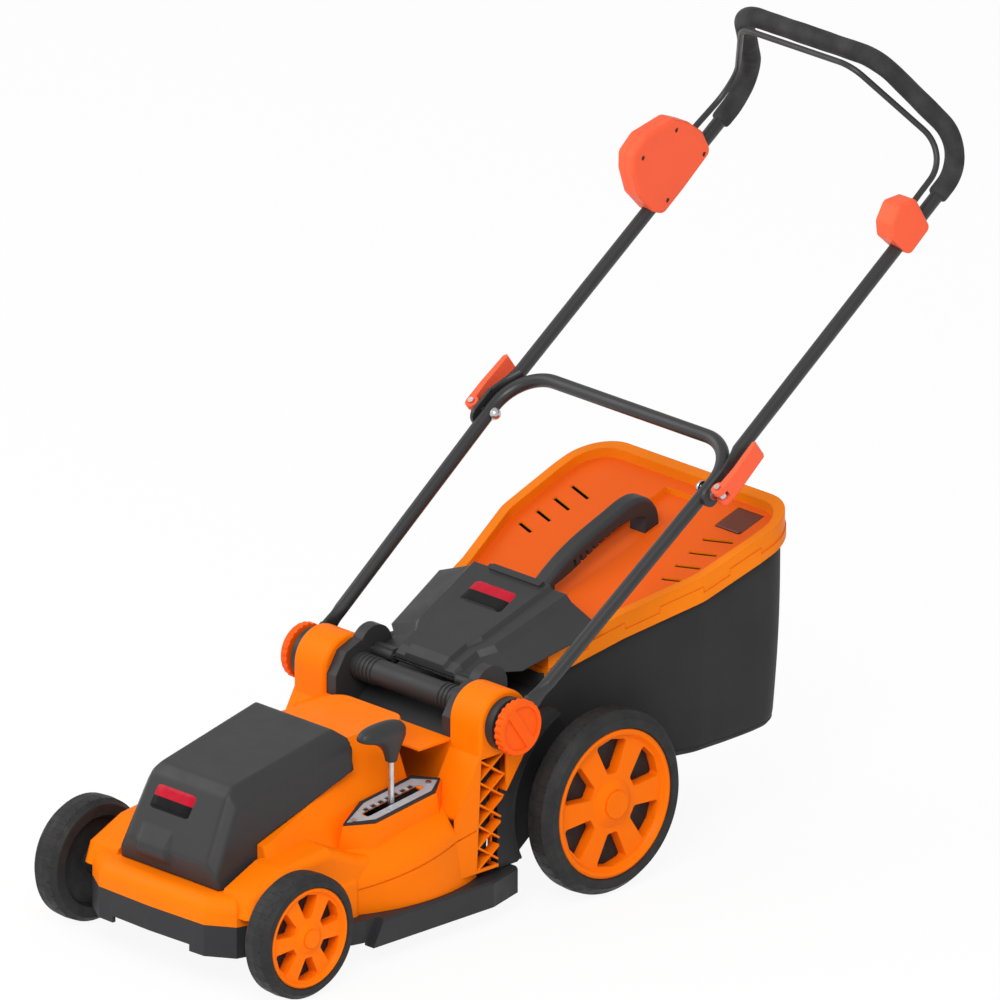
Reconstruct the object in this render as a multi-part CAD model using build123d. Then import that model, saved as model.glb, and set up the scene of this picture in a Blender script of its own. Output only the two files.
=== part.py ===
from build123d import *
import math
import os

# Rear-collect push lawn mower. Millimetres, +Z up, the nose faces -Y and +X is the operator's left.
# The origin lies on the ground under the blade spindle.

# Wheels and their cranked axles
FRONT_AXLE_Y = -165.0
WHEELBASE = 536.5
FRONT_WHEEL_R = 82.0
REAR_WHEEL_R = 122.5
FRONT_RIM_R = 65.5
REAR_RIM_R = 98.5
FRONT_TYRE_W = 42.0
REAR_TYRE_W = 46.0
WHEEL_FACE_X = 214.0
WHEEL_WINDOWS = 6
AXLE_R = 6.0
CRANK_REACH = 40.0
CRANK_DROP = 18.0
CRANK_ARM_T = 7.0

# Deck shell
DECK_TOP_Z = 122.0
SKIRT_Z = 60.0
BAND_TOP_Z = 88.0
BAND_LOW_Z = 46.0
BAND_MID_Z = 55.0
NOSE_Y = -242.0
NOSE_HALF_W = 132.0
COVER_WALL = 3.0
PLATE_Z = 85.0
PLATE_T = 4.0
PLATEAU_Z = 258.0
PLATEAU_HALF_W = 64.0
PLATEAU_REAR_Y = 150.0
DECK_REAR_Y = 178.0
FENDER_HALF_W = 157.0
DECK_INNER_HALF_W = 145.0
DOME_Y = 75.0
DOME_R = 240.0
DOME_HALF_W = 178.0
DOME_WALL_Z = 113.0
DOME_RISE = 50.0
DOME_SHOULDER = 80.0
DOME_TILT = 10.0
GROOVE_W = 1.8
GROOVE_DEPTH = 1.4

# Blade, its housing and the motor above it
BLADE_R = 168.0
BLADE_Z = 44.0
BLADE_T = 4.0
BLADE_W = 46.0
BLADE_TIP_GAP = 4.0
CHAMBER_R = BLADE_R + BLADE_TIP_GAP
NECK_R = 150.0
HOUSING_WALL = 4.0
HOUSING_LOW_Z = 30.0
BUMPER_X = CHAMBER_R + 14.0
BUMPER_FRONT_Y = -28.0
BUMPER_REAR_Y = 242.0
MOTOR_R = 52.0
MOTOR_H = 86.0
SPINDLE_R = 8.0

# Handle: pivot on the rear posts, slope, and the two tube frames
PIVOT_Y = 216.5
PIVOT_Z = 262.0
HANDLE_SLOPE = 35.6
TUBE_R = 9.0
TUBE_WALL = 1.4
FOOT_X = 187.0
FLAT_T = 6.0
FLAT_W = 27.0
CAM_S = 408.0
CAM_LEG_X = 199.0
CROSSBAR_S = 479.0
CROSSBAR_BEND = 60.0
UPPER_X = 200.0
LOOP_ELBOW_S = 987.0
LOOP_ELBOW_X = 197.0
LOOP_TOP_X = 124.0
LOOP_TOP_Y = 925.0
LOOP_TOP_Z = 966.0
LOOP_ELBOW_BEND = 58.0
LOOP_TOP_BEND = 50.0
GRIP_R = 13.0
GRIP_S = 909.0
BAIL_R = 4.0
BAIL_OFF_LEG = 25.0
BAIL_FORWARD = 25.0
BAIL_DROP = 9.0
BAIL_TOP_X = 100.0

# Rear posts and clamp knobs
POST_IN_X = 114.0
POST_OUT_X = 171.0
POST_R = 43.0
BOSS_R = 35.0
KNOB_R = 37.0
KNOB_T = 12.0
BOLT_R = 4.0
CLAMP_GAP = 0.3

# Grass box
LID_SLOPE = 0.31
LID_Z0 = 202.0
LID_DEPTH = 33.0
LID_WALL = 3.0
LID_REAR_Y = 730.0
LID_HALF_W = 190.0
LID_CORNER_R = 60.0
LID_FRONT_Y = 343.0
BAG_INSET = 6.0
BAG_WALL = 3.0
BAG_LOW_Z = 122.0
BAG_FRONT_LOW_Z = 152.0
MOUTH_HALF_W = 100.0
MOUTH_LOW_Z = 158.0
MOUTH_TOP_Z = 250.0

# Fits
RUN_FIT = 0.05
MOVE_GAP = 0.5

REAR_AXLE_Y = FRONT_AXLE_Y + WHEELBASE
SLOPE_COS = math.cos(math.radians(HANDLE_SLOPE))
SLOPE_SIN = math.sin(math.radians(HANDLE_SLOPE))


def block(x0, x1, y0, y1, z0, z1):
    """Box between two corners."""
    centre = Pos((x0 + x1) / 2, (y0 + y1) / 2, (z0 + z1) / 2)
    return centre * Box(abs(x1 - x0), abs(y1 - y0), abs(z1 - z0))


def rod_x(radius, x0, x1, y, z):
    """Round bar along X."""
    return Pos((x0 + x1) / 2, y, z) * Rot(0, 90, 0) * Cylinder(radius, abs(x1 - x0))


def rod_z(radius, x, y, z0, z1):
    """Round bar along Z."""
    return Pos(x, y, (z0 + z1) / 2) * Cylinder(radius, abs(z1 - z0))


def face_of(points):
    """Flat face inside a closed outline."""
    return make_face(Polyline(*points, close=True))


def side_plate(sketch, x0, x1):
    """Sketch in Y and Z, extruded along X from x0 to x1."""
    return extrude(Plane.YZ.offset(min(x0, x1)) * sketch, abs(x1 - x0))


def plan_plate(sketch, z0, z1):
    """Sketch in X and Y, extruded up from z0 to z1."""
    return extrude(Plane.XY.offset(z0) * sketch, z1 - z0)


def mirrored(shape):
    """The same shape on the other side of the mower."""
    return mirror(shape, about=Plane.YZ)


def both_sides(shape):
    """The shape together with its mirror image."""
    return shape + mirrored(shape)


def handle_plane(x):
    """Plane at x whose local x runs up the handle from the pivot and local y stands off it."""
    return Plane(origin=(x, PIVOT_Y, PIVOT_Z), x_dir=(0, SLOPE_COS, SLOPE_SIN), z_dir=(1, 0, 0))


def on_handle(s, n, x):
    """Point at distance s up the handle and n above it."""
    return Vector(x, PIVOT_Y + s * SLOPE_COS - n * SLOPE_SIN, PIVOT_Z + s * SLOPE_SIN + n * SLOPE_COS)


def handle_plate(sketch, x0, x1):
    """Sketch in handle coordinates, extruded along X from x0 to x1."""
    return extrude(handle_plane(min(x0, x1)) * sketch, abs(x1 - x0))


def pipe(path, radius, bore=0.0):
    """Round bar or tube along a path."""
    section = Circle(radius)
    if bore:
        section -= Circle(bore)
    start = Plane(origin=path @ 0, z_dir=path % 0)
    return sweep(start * section, path=path)


# Wheels


def wheel_window(rim_r, hub_r):
    """One triangular window between two spokes, pointing along +Y of its sketch."""
    outer = rim_r * 0.86
    inner = hub_r * 1.85
    half = math.radians(360 / WHEEL_WINDOWS / 2) * 0.62
    spread = outer * math.sin(half)
    shape = face_of([
        (-spread, outer * math.cos(half)),
        (0, outer * 1.02),
        (spread, outer * math.cos(half)),
        (spread * 0.3, inner),
        (-spread * 0.3, inner),
    ])
    return fillet(shape.vertices(), rim_r * 0.045)


COVER_DEPTH = 22.0


def wheel_rim(rim_r):
    """Dished spoked wheel face, turned about Z with its outer face at z = 0."""
    hub_r = rim_r * 0.22
    lip = rim_r * 0.07
    face_z = -rim_r * 0.06
    profile = face_of([
        (AXLE_R + RUN_FIT, -COVER_DEPTH),
        (rim_r, -COVER_DEPTH),
        (rim_r, -2),
        (rim_r - lip * 0.5, 0),
        (rim_r - lip, -1.5),
        (rim_r - lip * 1.6, face_z - 2),
        (hub_r * 1.5, face_z),
        (hub_r, 1.0),
        (AXLE_R + RUN_FIT, 1.0),
    ])
    rim = revolve(Plane.XZ * profile, axis=Axis.Z)
    window = extrude(Plane.XY.offset(-COVER_DEPTH) * wheel_window(rim_r, hub_r), COVER_DEPTH + 4)
    for turn in range(WHEEL_WINDOWS):
        rim -= Rot(0, 0, 360 / WHEEL_WINDOWS * (turn + 0.5)) * window
    return rim


def wheel_tyre(tyre_r, rim_r, width):
    """Dark wheel body: hub disc behind the spoked face, crowned tread and rows of shoulder lugs."""
    shoulder = (tyre_r - rim_r) * 0.45
    profile = face_of([
        (AXLE_R + RUN_FIT, -COVER_DEPTH),
        (rim_r, -COVER_DEPTH),
        (rim_r, -3),
        (rim_r + 2, 0),
        (tyre_r - shoulder, 0),
        (tyre_r - 1.0, -shoulder),
        (tyre_r, -width / 2),
        (tyre_r - 1.0, shoulder - width),
        (tyre_r - shoulder, -width),
        (rim_r * 0.92, -width),
        (rim_r * 0.86, 10 - width),
        (rim_r * 0.3, 10 - width),
        (rim_r * 0.26, -width),
        (AXLE_R + RUN_FIT, -width),
    ])
    tyre = revolve(Plane.XZ * profile, axis=Axis.Z)
    notch = Pos(tyre_r, 0, 0) * Box(2.6, 3.0, shoulder * 3)
    count = int(tyre_r * 0.3)
    cuts = []
    for turn in range(count):
        cuts.append(Rot(0, 0, 360 / count * turn) * notch)
        cuts.append(Rot(0, 0, 360 / count * (turn + 0.5)) * Pos(0, 0, -width) * notch)
    return tyre - cuts


def wheel_cap(rim_r):
    """Flat-faced push-on cap over the hub."""
    radius = rim_r * 0.19
    cap = Pos(0, 0, 1.0 + 1.5) * Cylinder(radius, 3.0)
    return chamfer(cap.faces().sort_by(Axis.Z)[-1].edges(), 1.0)


def place_wheel(shape, side, axle_y, axle_z):
    """Stand a wheel turned about Z upright on its axle, outer face outwards."""
    return Pos(side * WHEEL_FACE_X, axle_y, axle_z) * Rot(0, 90 * side, 0) * shape


def wheel_set():
    """Tyre, rim and cap of the four wheels."""
    pieces = {}
    sizes = {
        "front": (FRONT_AXLE_Y, FRONT_WHEEL_R, FRONT_RIM_R, FRONT_TYRE_W),
        "rear": (REAR_AXLE_Y, REAR_WHEEL_R, REAR_RIM_R, REAR_TYRE_W),
    }
    for end, (axle_y, tyre_r, rim_r, width) in sizes.items():
        rim = wheel_rim(rim_r)
        tyre = wheel_tyre(tyre_r, rim_r, width)
        cap = wheel_cap(rim_r)
        for hand, side in (("left", 1), ("right", -1)):
            pieces[f"{end}_{hand}_rim"] = place_wheel(rim, side, axle_y, tyre_r)
            pieces[f"{end}_{hand}_tyre"] = place_wheel(tyre, side, axle_y, tyre_r)
            pieces[f"{end}_{hand}_hub_cap"] = place_wheel(cap, side, axle_y, tyre_r)
    return pieces


# Height adjustment: two cranked axles, a lever and two link rods

FRONT_SHAFT_Y = FRONT_AXLE_Y + CRANK_REACH
FRONT_SHAFT_Z = FRONT_WHEEL_R + CRANK_DROP
REAR_SHAFT_Y = REAR_AXLE_Y - CRANK_REACH
REAR_SHAFT_Z = REAR_WHEEL_R + CRANK_DROP
ARM_IN_X = 156.0
LINK_X = 128.0
LINK_T = 4.0
LINK_ARM = 21.0
LEVER_ARM = 14.0
PIN_R = 3.0
LEVER_Y = 61.0
LEVER_Z = 106.0
LEVER_R = 4.0
LEVER_TOP_Z = 262.0
STEM_LOW_Z = 238.0
STEM_TOP_Z = 276.0
GRIP_BAR_Z = 287.0
LEVER_PLATE_T = 4.0
EYE_PLAY = 0.6
EYE_DROP = 3.0


def cranked_axle(shaft_y, shaft_z, axle_y, axle_z, arm_up):
    """Cross shaft with a crank and a wheel stub at each end and one arm for the link rod."""
    axle = rod_x(AXLE_R, -ARM_IN_X - CRANK_ARM_T, ARM_IN_X + CRANK_ARM_T, shaft_y, shaft_z)
    reach = math.hypot(axle_y - shaft_y, axle_z - shaft_z)
    turn = math.degrees(math.atan2(axle_z - shaft_z, axle_y - shaft_y))
    arm = Plane.YZ.offset(ARM_IN_X) * Pos((shaft_y + axle_y) / 2, (shaft_z + axle_z) / 2) * Rot(0, 0, turn)
    crank = extrude(arm * SlotCenterToCenter(reach, AXLE_R * 3), CRANK_ARM_T)
    stub = rod_x(AXLE_R, ARM_IN_X, WHEEL_FACE_X + 0.5, axle_y, axle_z)
    axle += both_sides(crank + stub)
    pin_z = shaft_z + LINK_ARM * arm_up
    arm_at = Pos(shaft_y, (shaft_z + pin_z) / 2) * Rot(0, 0, 90)
    link_arm = Plane.YZ.offset(LINK_X - LINK_T - MOVE_GAP) * arm_at
    axle += extrude(link_arm * SlotCenterToCenter(LINK_ARM, AXLE_R * 2 + 4), LINK_T)
    axle += rod_x(PIN_R, LINK_X - LINK_T - MOVE_GAP, LINK_X + 2 * LINK_T + 1.5, shaft_y, pin_z)
    return axle


def link_rod(pin_y, pin_z, x):
    """Flat link from the lever's pin to an axle arm's pin, with a play slot at the axle end."""
    start_z = LEVER_Z + LEVER_ARM
    run = math.hypot(pin_y - LEVER_Y, pin_z - start_z)
    turn = math.degrees(math.atan2(pin_z - start_z, pin_y - LEVER_Y))
    bar = Pos(run / 2, 0) * SlotCenterToCenter(run, 9) + Circle(6)
    bar -= Circle(PIN_R + RUN_FIT)
    flat = Plane.YZ.offset(x) * Pos(LEVER_Y, start_z) * Rot(0, 0, turn)
    link = extrude(flat * bar, LINK_T)
    eye = Plane.YZ.offset(x) * Pos(pin_y, pin_z)
    link += extrude(eye * Circle(PIN_R + EYE_PLAY + EYE_DROP + 3), LINK_T)
    slot = Rot(0, 0, 90) * SlotCenterToCenter(EYE_DROP * 2, 2 * (PIN_R + EYE_PLAY))
    return link - extrude(eye * slot, LINK_T)


def height_lever():
    """Pivot plate with its link pin and the bright rod that rises through the gate."""
    plate_x = LINK_X - LEVER_PLATE_T - MOVE_GAP
    hub = rod_x(10, plate_x, plate_x + LEVER_PLATE_T, LEVER_Y, LEVER_Z)
    tail = side_plate(Pos(LEVER_Y, LEVER_Z + 17) * Rectangle(16, 34), plate_x, plate_x + LEVER_PLATE_T)
    pin = rod_x(PIN_R, plate_x, LINK_X + LINK_T + 2 * LINK_T, LEVER_Y, LEVER_Z + LEVER_ARM)
    rod = rod_z(LEVER_R, LINK_X - LEVER_PLATE_T / 2 - MOVE_GAP, LEVER_Y, LEVER_Z + 24, LEVER_TOP_Z)
    bore = rod_x(AXLE_R + RUN_FIT, plate_x - 1, LINK_X, LEVER_Y, LEVER_Z)
    return hub + tail + pin + rod - bore


def lever_grip():
    """T-shaped grip, long fore and aft, on a tapering stem."""
    x = LINK_X - LEVER_PLATE_T / 2 - MOVE_GAP
    stem_low = Plane(origin=(x, LEVER_Y, STEM_LOW_Z)) * Circle(7)
    stem_top = Plane(origin=(x, LEVER_Y, STEM_TOP_Z + 4)) * Ellipse(11, 17)
    stem = loft([stem_low, stem_top])
    bar = fillet(Box(26, 76, 22).edges().filter_by(Axis.Z), 11)
    bar = fillet(bar.faces().sort_by(Axis.Z)[-1].edges(), 7)
    bar = Pos(x, LEVER_Y - 18, GRIP_BAR_Z) * Rot(4, 0, 0) * bar
    bore = rod_z(LEVER_R, x, LEVER_Y, STEM_LOW_Z - 5, LEVER_TOP_Z)
    return stem + bar - bore


# Deck cover: the painted top shell with nose, plateau, gate console, wheel bulges and rear posts


def deck_outline(inset=0.0):
    """Plan outline of the deck: blunt nose, waist beside the front wheels, straight flanks."""
    half = [
        (0, NOSE_Y + inset),
        (96, NOSE_Y + 3 + inset),
        (NOSE_HALF_W - inset, NOSE_Y + 26),
        (150 - inset, -150),
        (FENDER_HALF_W - inset, -92),
        (FENDER_HALF_W - inset, -30),
        (DECK_INNER_HALF_W - inset, 0),
        (DECK_INNER_HALF_W - inset, DECK_REAR_Y - inset),
        (0, DECK_REAR_Y - inset),
    ]
    return face_of(half + [(-x, y) for x, y in reversed(half[1:-1])])


def deck_body(inset, low_z):
    """Main pan of the cover with its rounded shoulder."""
    pan = plan_plate(deck_outline(inset), low_z, DECK_TOP_Z - inset)
    top_edges = pan.faces().sort_by(Axis.Z)[-1].edges()
    front_edges = top_edges.filter_by(lambda e: e.center().Y < DECK_REAR_Y - inset - 1)
    return fillet(front_edges, 20 - inset)


def dome_frame():
    """Frame of the left dome: on its axis at the top of the upright wall, pitched up to the rear."""
    return Location((DOME_HALF_W - DOME_R, DOME_Y, DOME_WALL_Z), (DOME_TILT, 0, 0))


def dome(inset):
    """Round left flank of the cover: upright wall and crowned shoulder, turned about a tilted axis."""
    radius = DOME_R - inset
    top = DOME_RISE - inset
    wall = Line((radius, -120), (radius, 0))
    halfway = (radius - DOME_SHOULDER * (1 - math.sqrt(0.5)), top * math.sqrt(0.5))
    shoulder = Spline((radius, 0), halfway, (radius - DOME_SHOULDER, top), tangents=[(0, 1), (-1, 0)])
    rest = Polyline((radius - DOME_SHOULDER, top), (0, top), (0, -120), (radius, -120))
    body = revolve(Plane.XZ * make_face([wall, shoulder, rest]), axis=Axis.Z)
    room = block(0, DOME_HALF_W + 1, DOME_Y - DOME_R, DECK_REAR_Y - inset, 0, 300)
    return dome_frame() * body & room


def dome_groove():
    """Parting groove round the left flank at the top of its upright wall."""
    ring = rod_z(DOME_R + 1, 0, 0, -GROOVE_W, 0) - rod_z(DOME_R - GROOVE_DEPTH, 0, 0, -GROOVE_W, 0)
    flank = dome_frame() * block(0, 300, 0, 120, -GROOVE_W, 0)
    flank &= block(POST_OUT_X - GROOVE_DEPTH, POST_OUT_X + 1, 120, LATTICE_Y0 - 8, 0, 300)
    return (dome_frame() * ring & block(140, 200, -60, LATTICE_Y0 - 8, 0, 300)) + flank


HOOD_SEAT_GAP = 0.5
HOOD_FRONT_Z = DECK_TOP_Z + HOOD_SEAT_GAP
HOOD_STEP_Y = -142.0
HOOD_STEP_Z = 168.0
HOOD_REAR_Y = 28.0
HOOD_REAR_Z = 226.0
HOOD_HINGE_Y = 19.0
HOOD_HINGE_Z = 252.0
HINGE_PIN_R = 3.0
HINGE_LUG_X = 40.0
HINGE_LUG_W = 12.0
HINGE_EAR_R = 5.5
HINGE_EAR_T = 5.0
HINGE_SWEEP_R = 18.0
HOOD_WALL = 2.5
HOOD_SOFT_R = 7.0


def hood_seat(drop):
    """Space above the ledge on which the hood's lower edge lies, drop below that edge."""
    return side_plate(face_of([
        (-300, HOOD_FRONT_Z - drop),
        (HOOD_STEP_Y, HOOD_FRONT_Z - drop),
        (HOOD_STEP_Y + 4, HOOD_STEP_Z - drop),
        (HOOD_REAR_Y + drop, HOOD_REAR_Z - drop),
        (HOOD_REAR_Y + drop, 400),
        (-300, 400),
    ]), -200, 200)


def fuselage(inset):
    """Raised back that carries the hood and ends in the flat plateau."""
    half_low = 128 - inset
    half_top = PLATEAU_HALF_W - inset
    low = Plane.XY.offset(112 - inset) * Pos(0, -10) * RectangleRounded(2 * half_low, 340 - 2 * inset, 46)
    top_len = PLATEAU_REAR_Y + 120 - 2 * inset
    top_mid = (PLATEAU_REAR_Y - 120) / 2
    top = Plane.XY.offset(PLATEAU_Z - inset) * Pos(0, top_mid) * RectangleRounded(2 * half_top, top_len, 24)
    sweep_room = rod_x(HINGE_SWEEP_R + inset, -120, 120, HOOD_HINGE_Y, HOOD_HINGE_Z)
    return loft([low, top]) - hood_seat(HOOD_SEAT_GAP + inset) - sweep_room


def hinge_ear():
    """One ear on the ledge under the hood that holds the hinge pin."""
    side = face_of([
        (HOOD_HINGE_Y - HINGE_EAR_R, HOOD_HINGE_Z),
        (HOOD_HINGE_Y - HINGE_EAR_R, HOOD_HINGE_Z - 42),
        (HOOD_HINGE_Y + HINGE_EAR_R - 3, HOOD_HINGE_Z - 36),
        (HOOD_HINGE_Y + HINGE_EAR_R, HOOD_HINGE_Z),
    ])
    side += Pos(HOOD_HINGE_Y, HOOD_HINGE_Z) * Circle(HINGE_EAR_R)
    side -= Pos(HOOD_HINGE_Y, HOOD_HINGE_Z) * Circle(HINGE_PIN_R)
    x0 = HINGE_LUG_X + HINGE_LUG_W + MOVE_GAP
    return side_plate(side, x0, x0 + HINGE_EAR_T)


GATE_PITCH = 7.5
GATE_ROLL = 8.0
GATE_X = 123.5
GATE_Z = 184.0
GATE_LEN = 158.0
GATE_W = 40.0
GATE_T = 2.0


def gate_frame():
    """Plane of the height gate: pitched up to the rear and rolled outwards."""
    return Plane(Location((GATE_X, LEVER_Y, GATE_Z), (GATE_PITCH, GATE_ROLL, 0)))


def gate_outline(grow):
    """Long six-sided outline of the gate, along local Y."""
    half_l = GATE_LEN / 2 + grow
    half_w = GATE_W / 2 + grow
    return face_of([
        (0, -half_l),
        (half_w, -half_l + 34),
        (half_w, half_l - 26),
        (6, half_l),
        (-half_w, half_l - 22),
        (-half_w, -half_l + 52),
    ])


def console(inset):
    """Raised pad on the left flank under the height gate."""
    frame = gate_frame()
    face = frame.offset(-GATE_T - inset * 0.8) * gate_outline(5 - inset)
    return extrude(face, -80, taper=-7)


def wheel_bulge(inset):
    """Fender ridge above one front wheel."""
    side = face_of([
        (-214 + inset, 100),
        (-204 + inset, 128 - inset),
        (-150, 152 - inset),
        (-72, 162 - inset),
        (-18, 137 - inset),
        (14 - inset, 131 - inset),
        (14 - inset, 100),
    ])
    ridge = side_plate(side, 97 + inset, 155 - inset)
    outer_top = ridge.edges().filter_by(lambda e: e.center().X > 150 - inset and e.center().Z > 112)
    return fillet(outer_top, 13 - inset)


def post_side(inset):
    """Side outline of a rear post: round head on a stem that spreads into the deck."""
    radius = POST_R - inset
    stem = face_of([
        (PIVOT_Y - radius, PIVOT_Z),
        (PIVOT_Y - radius, 226),
        (130, 150),
        (130, 70),
        (206 - inset, 70),
        (214 - inset, 160),
        (PIVOT_Y + radius, 222),
        (PIVOT_Y + radius, PIVOT_Z),
    ])
    return stem + Pos(PIVOT_Y, PIVOT_Z) * Circle(radius)


def rear_post(inset):
    """One rear post of the cover."""
    post = side_plate(post_side(inset), POST_IN_X + inset, POST_OUT_X - inset)
    if inset:
        return post
    rim = post.edges().filter_by(lambda e: e.center().Z > PIVOT_Z + 5 and e.geom_type == GeomType.CIRCLE)
    return fillet(rim, 5)


LATTICE_Y0 = 176.0
LATTICE_Y1 = 208.0
LATTICE_Z0 = 74.0
LATTICE_Z1 = 222.0
LATTICE_DEPTH = 15.0
LATTICE_CELLS = 5
LATTICE_RIB = 2.6


def lattice_pocket():
    """Open pocket in the rear flank of a post."""
    side = face_of([
        (LATTICE_Y0 - 8, LATTICE_Z0),
        (LATTICE_Y1 + 12, LATTICE_Z0),
        (LATTICE_Y1 + 12, LATTICE_Z1),
        (LATTICE_Y0, LATTICE_Z1),
    ])
    return side_plate(side, POST_OUT_X - LATTICE_DEPTH, POST_OUT_X + 1)


def lattice_ribs():
    """Crossed diagonal ribs that fill the pocket."""
    pitch = (LATTICE_Z1 - LATTICE_Z0) / LATTICE_CELLS
    width = LATTICE_Y1 - LATTICE_Y0 + 12
    length = math.hypot(pitch, width) + 4
    turn = math.degrees(math.atan2(pitch, width))
    ribs = None
    for cell in range(LATTICE_CELLS):
        mid_z = LATTICE_Z0 + pitch * (cell + 0.5)
        for lean in (turn, -turn):
            middle = Pos((LATTICE_Y0 + LATTICE_Y1) / 2 + 2, mid_z)
            bar = middle * Rot(0, 0, lean) * Rectangle(length, LATTICE_RIB)
            rib = side_plate(bar, POST_OUT_X - LATTICE_DEPTH - 1, POST_OUT_X - 1)
            ribs = rib if ribs is None else ribs + rib
    stem = side_plate(post_side(0.5), POST_OUT_X - LATTICE_DEPTH - 2, POST_OUT_X)
    return ribs & stem


def hood_bay():
    """Opening in the cover under the hood."""
    return block(-74, 74, -170, -4, DECK_TOP_Z - 30, 300)


def cover_form(inset, low_z):
    """Outer or inner form of the whole cover."""
    form = deck_body(inset, low_z) + fuselage(inset)
    form += both_sides(dome(inset) & block(0, 300, -300, 300, low_z, 300))
    form += block(-POST_IN_X - 1, POST_IN_X + 1, 120, DECK_REAR_Y - inset, 100, 236 - inset)
    form += console(inset)
    form += both_sides(wheel_bulge(inset))
    form += both_sides(rear_post(inset))
    return form


def deck_cover():
    """Painted top shell of the mower."""
    shell = cover_form(0, SKIRT_Z) - cover_form(COVER_WALL, SKIRT_Z - 30)
    shell -= block(-200, 200, NOSE_Y - 10, -92, SKIRT_Z - 1, BAND_TOP_Z)
    shell -= hood_bay()
    shell -= both_sides(lattice_pocket())
    shell += both_sides(lattice_ribs() + hinge_ear())
    shell -= both_sides(dome_groove())
    shell -= both_sides(rod_x(AXLE_R + 4, 130, 175, FRONT_SHAFT_Y, FRONT_SHAFT_Z))
    shell -= block(GATE_X - 7, GATE_X + 11, LEVER_Y - 44, LEVER_Y + 50, 150, 230)
    shell -= block(LINK_X - 10, LINK_X + LINK_T + 20, 190, 240, SKIRT_Z - 1, 150)
    shell -= both_sides(rod_x(BOLT_R + RUN_FIT, 100, 200, PIVOT_Y, PIVOT_Z))
    shell -= block(-CHUTE_HALF_W - 1, CHUTE_HALF_W + 1, 160, DECK_REAR_Y + 5, SKIRT_Z - 5, 157)
    return shell


# Chassis: the dark pan under the cover with the blade chamber, discharge chute and rear wheel arches

ARCH_R = 128.0
ARCH_X = 160.0
REAR_WALL_X = 150.0
REAR_WALL_T = 8.0
CHUTE_HALF_W = 108.0
CHUTE_WALL = 4.0
CHUTE_END_Y = 338.5
BUSH_R = 10.0
BUSH_T = 12.0
FRONT_BEARING_X = 147.5


def chamber_ring():
    """Round wall of the blade chamber."""
    outer = CHAMBER_R + HOUSING_WALL
    return revolve(Plane.XZ * face_of([
        (CHAMBER_R, HOUSING_LOW_Z),
        (outer, HOUSING_LOW_Z),
        (outer, SKIRT_Z),
        (NECK_R, SKIRT_Z),
        (NECK_R, PLATE_Z + 0.5),
        (NECK_R - 4, PLATE_Z + 0.5),
        (NECK_R - 4, SKIRT_Z - HOUSING_WALL),
        (CHAMBER_R, SKIRT_Z - HOUSING_WALL),
    ]), axis=Axis.Z)


def side_bumper():
    """Rub rail along the left flank: straight outer face, sloping front end with ribs, tapered rear end."""
    plan = face_of([
        (CHAMBER_R - 40, BUMPER_FRONT_Y),
        (BUMPER_X, BUMPER_FRONT_Y),
        (BUMPER_X, BUMPER_REAR_Y - 59),
        (BUMPER_X - 17, BUMPER_REAR_Y),
        (REAR_WALL_X - 1, BUMPER_REAR_Y),
    ])
    rail = plan_plate(plan, HOUSING_LOW_Z - 5, SKIRT_Z)
    slope = face_of([
        (BUMPER_FRONT_Y - 1, 0),
        (BUMPER_FRONT_Y, HOUSING_LOW_Z - 5),
        (BUMPER_FRONT_Y + 19, SKIRT_Z),
        (BUMPER_FRONT_Y + 19, SKIRT_Z + 5),
        (BUMPER_FRONT_Y - 1, SKIRT_Z + 5),
    ])
    rail -= side_plate(slope, BUMPER_X - 12, BUMPER_X + 1)
    for rib in range(4):
        x = BUMPER_X - 12 - 6 * (rib + 1)
        rail -= block(x, x + 3, BUMPER_FRONT_Y - 1, BUMPER_FRONT_Y + 24, HOUSING_LOW_Z, SKIRT_Z + 1)
    top_edge = rail.edges().filter_by(lambda e: e.center().X > BUMPER_X - 9 and e.center().Z > SKIRT_Z - 1)
    rail = chamfer(top_edge.filter_by(lambda e: e.length > 40), 3)
    rail -= rod_z(CHAMBER_R, 0, 0, 0, SKIRT_Z - HOUSING_WALL) + rod_z(CHAMBER_R - 8, 0, 0, 0, SKIRT_Z + 1)
    return rail - block(100, REAR_WALL_X + 10, 60, BUMPER_REAR_Y + 1, 0, SKIRT_Z - HOUSING_WALL)


def front_band():
    """Dark band of the nose below the painted cover."""
    ring = plan_plate(deck_outline(0) - deck_outline(5), BAND_LOW_Z, BAND_TOP_Z)
    ring &= block(-200, 200, NOSE_Y - 5, -92, 0, 200)
    return ring - block(-70, 70, NOSE_Y - 5, NOSE_Y + 30, BAND_LOW_Z - 1, BAND_MID_Z)


def chute_outer():
    """Outside of the discharge chute."""
    return side_plate(face_of([
        (128, SKIRT_Z + 1),
        (CHUTE_END_Y, 152),
        (CHUTE_END_Y, 258),
        (262, 238),
        (150, 128),
        (128, PLATE_Z + PLATE_T),
    ]), -CHUTE_HALF_W, CHUTE_HALF_W)


def chute_inner():
    """Path of the clippings from the chamber to the grass box."""
    half = CHUTE_HALF_W - CHUTE_WALL
    return side_plate(face_of([
        (90, SKIRT_Z - 20),
        (127, SKIRT_Z - 20),
        (127, SKIRT_Z + 5),
        (CHUTE_END_Y + 1, 156),
        (CHUTE_END_Y + 1, 254),
        (264, 234),
        (152, 123),
        (90, PLATE_Z + PLATE_T - 3),
    ]), -half, half)


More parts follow.
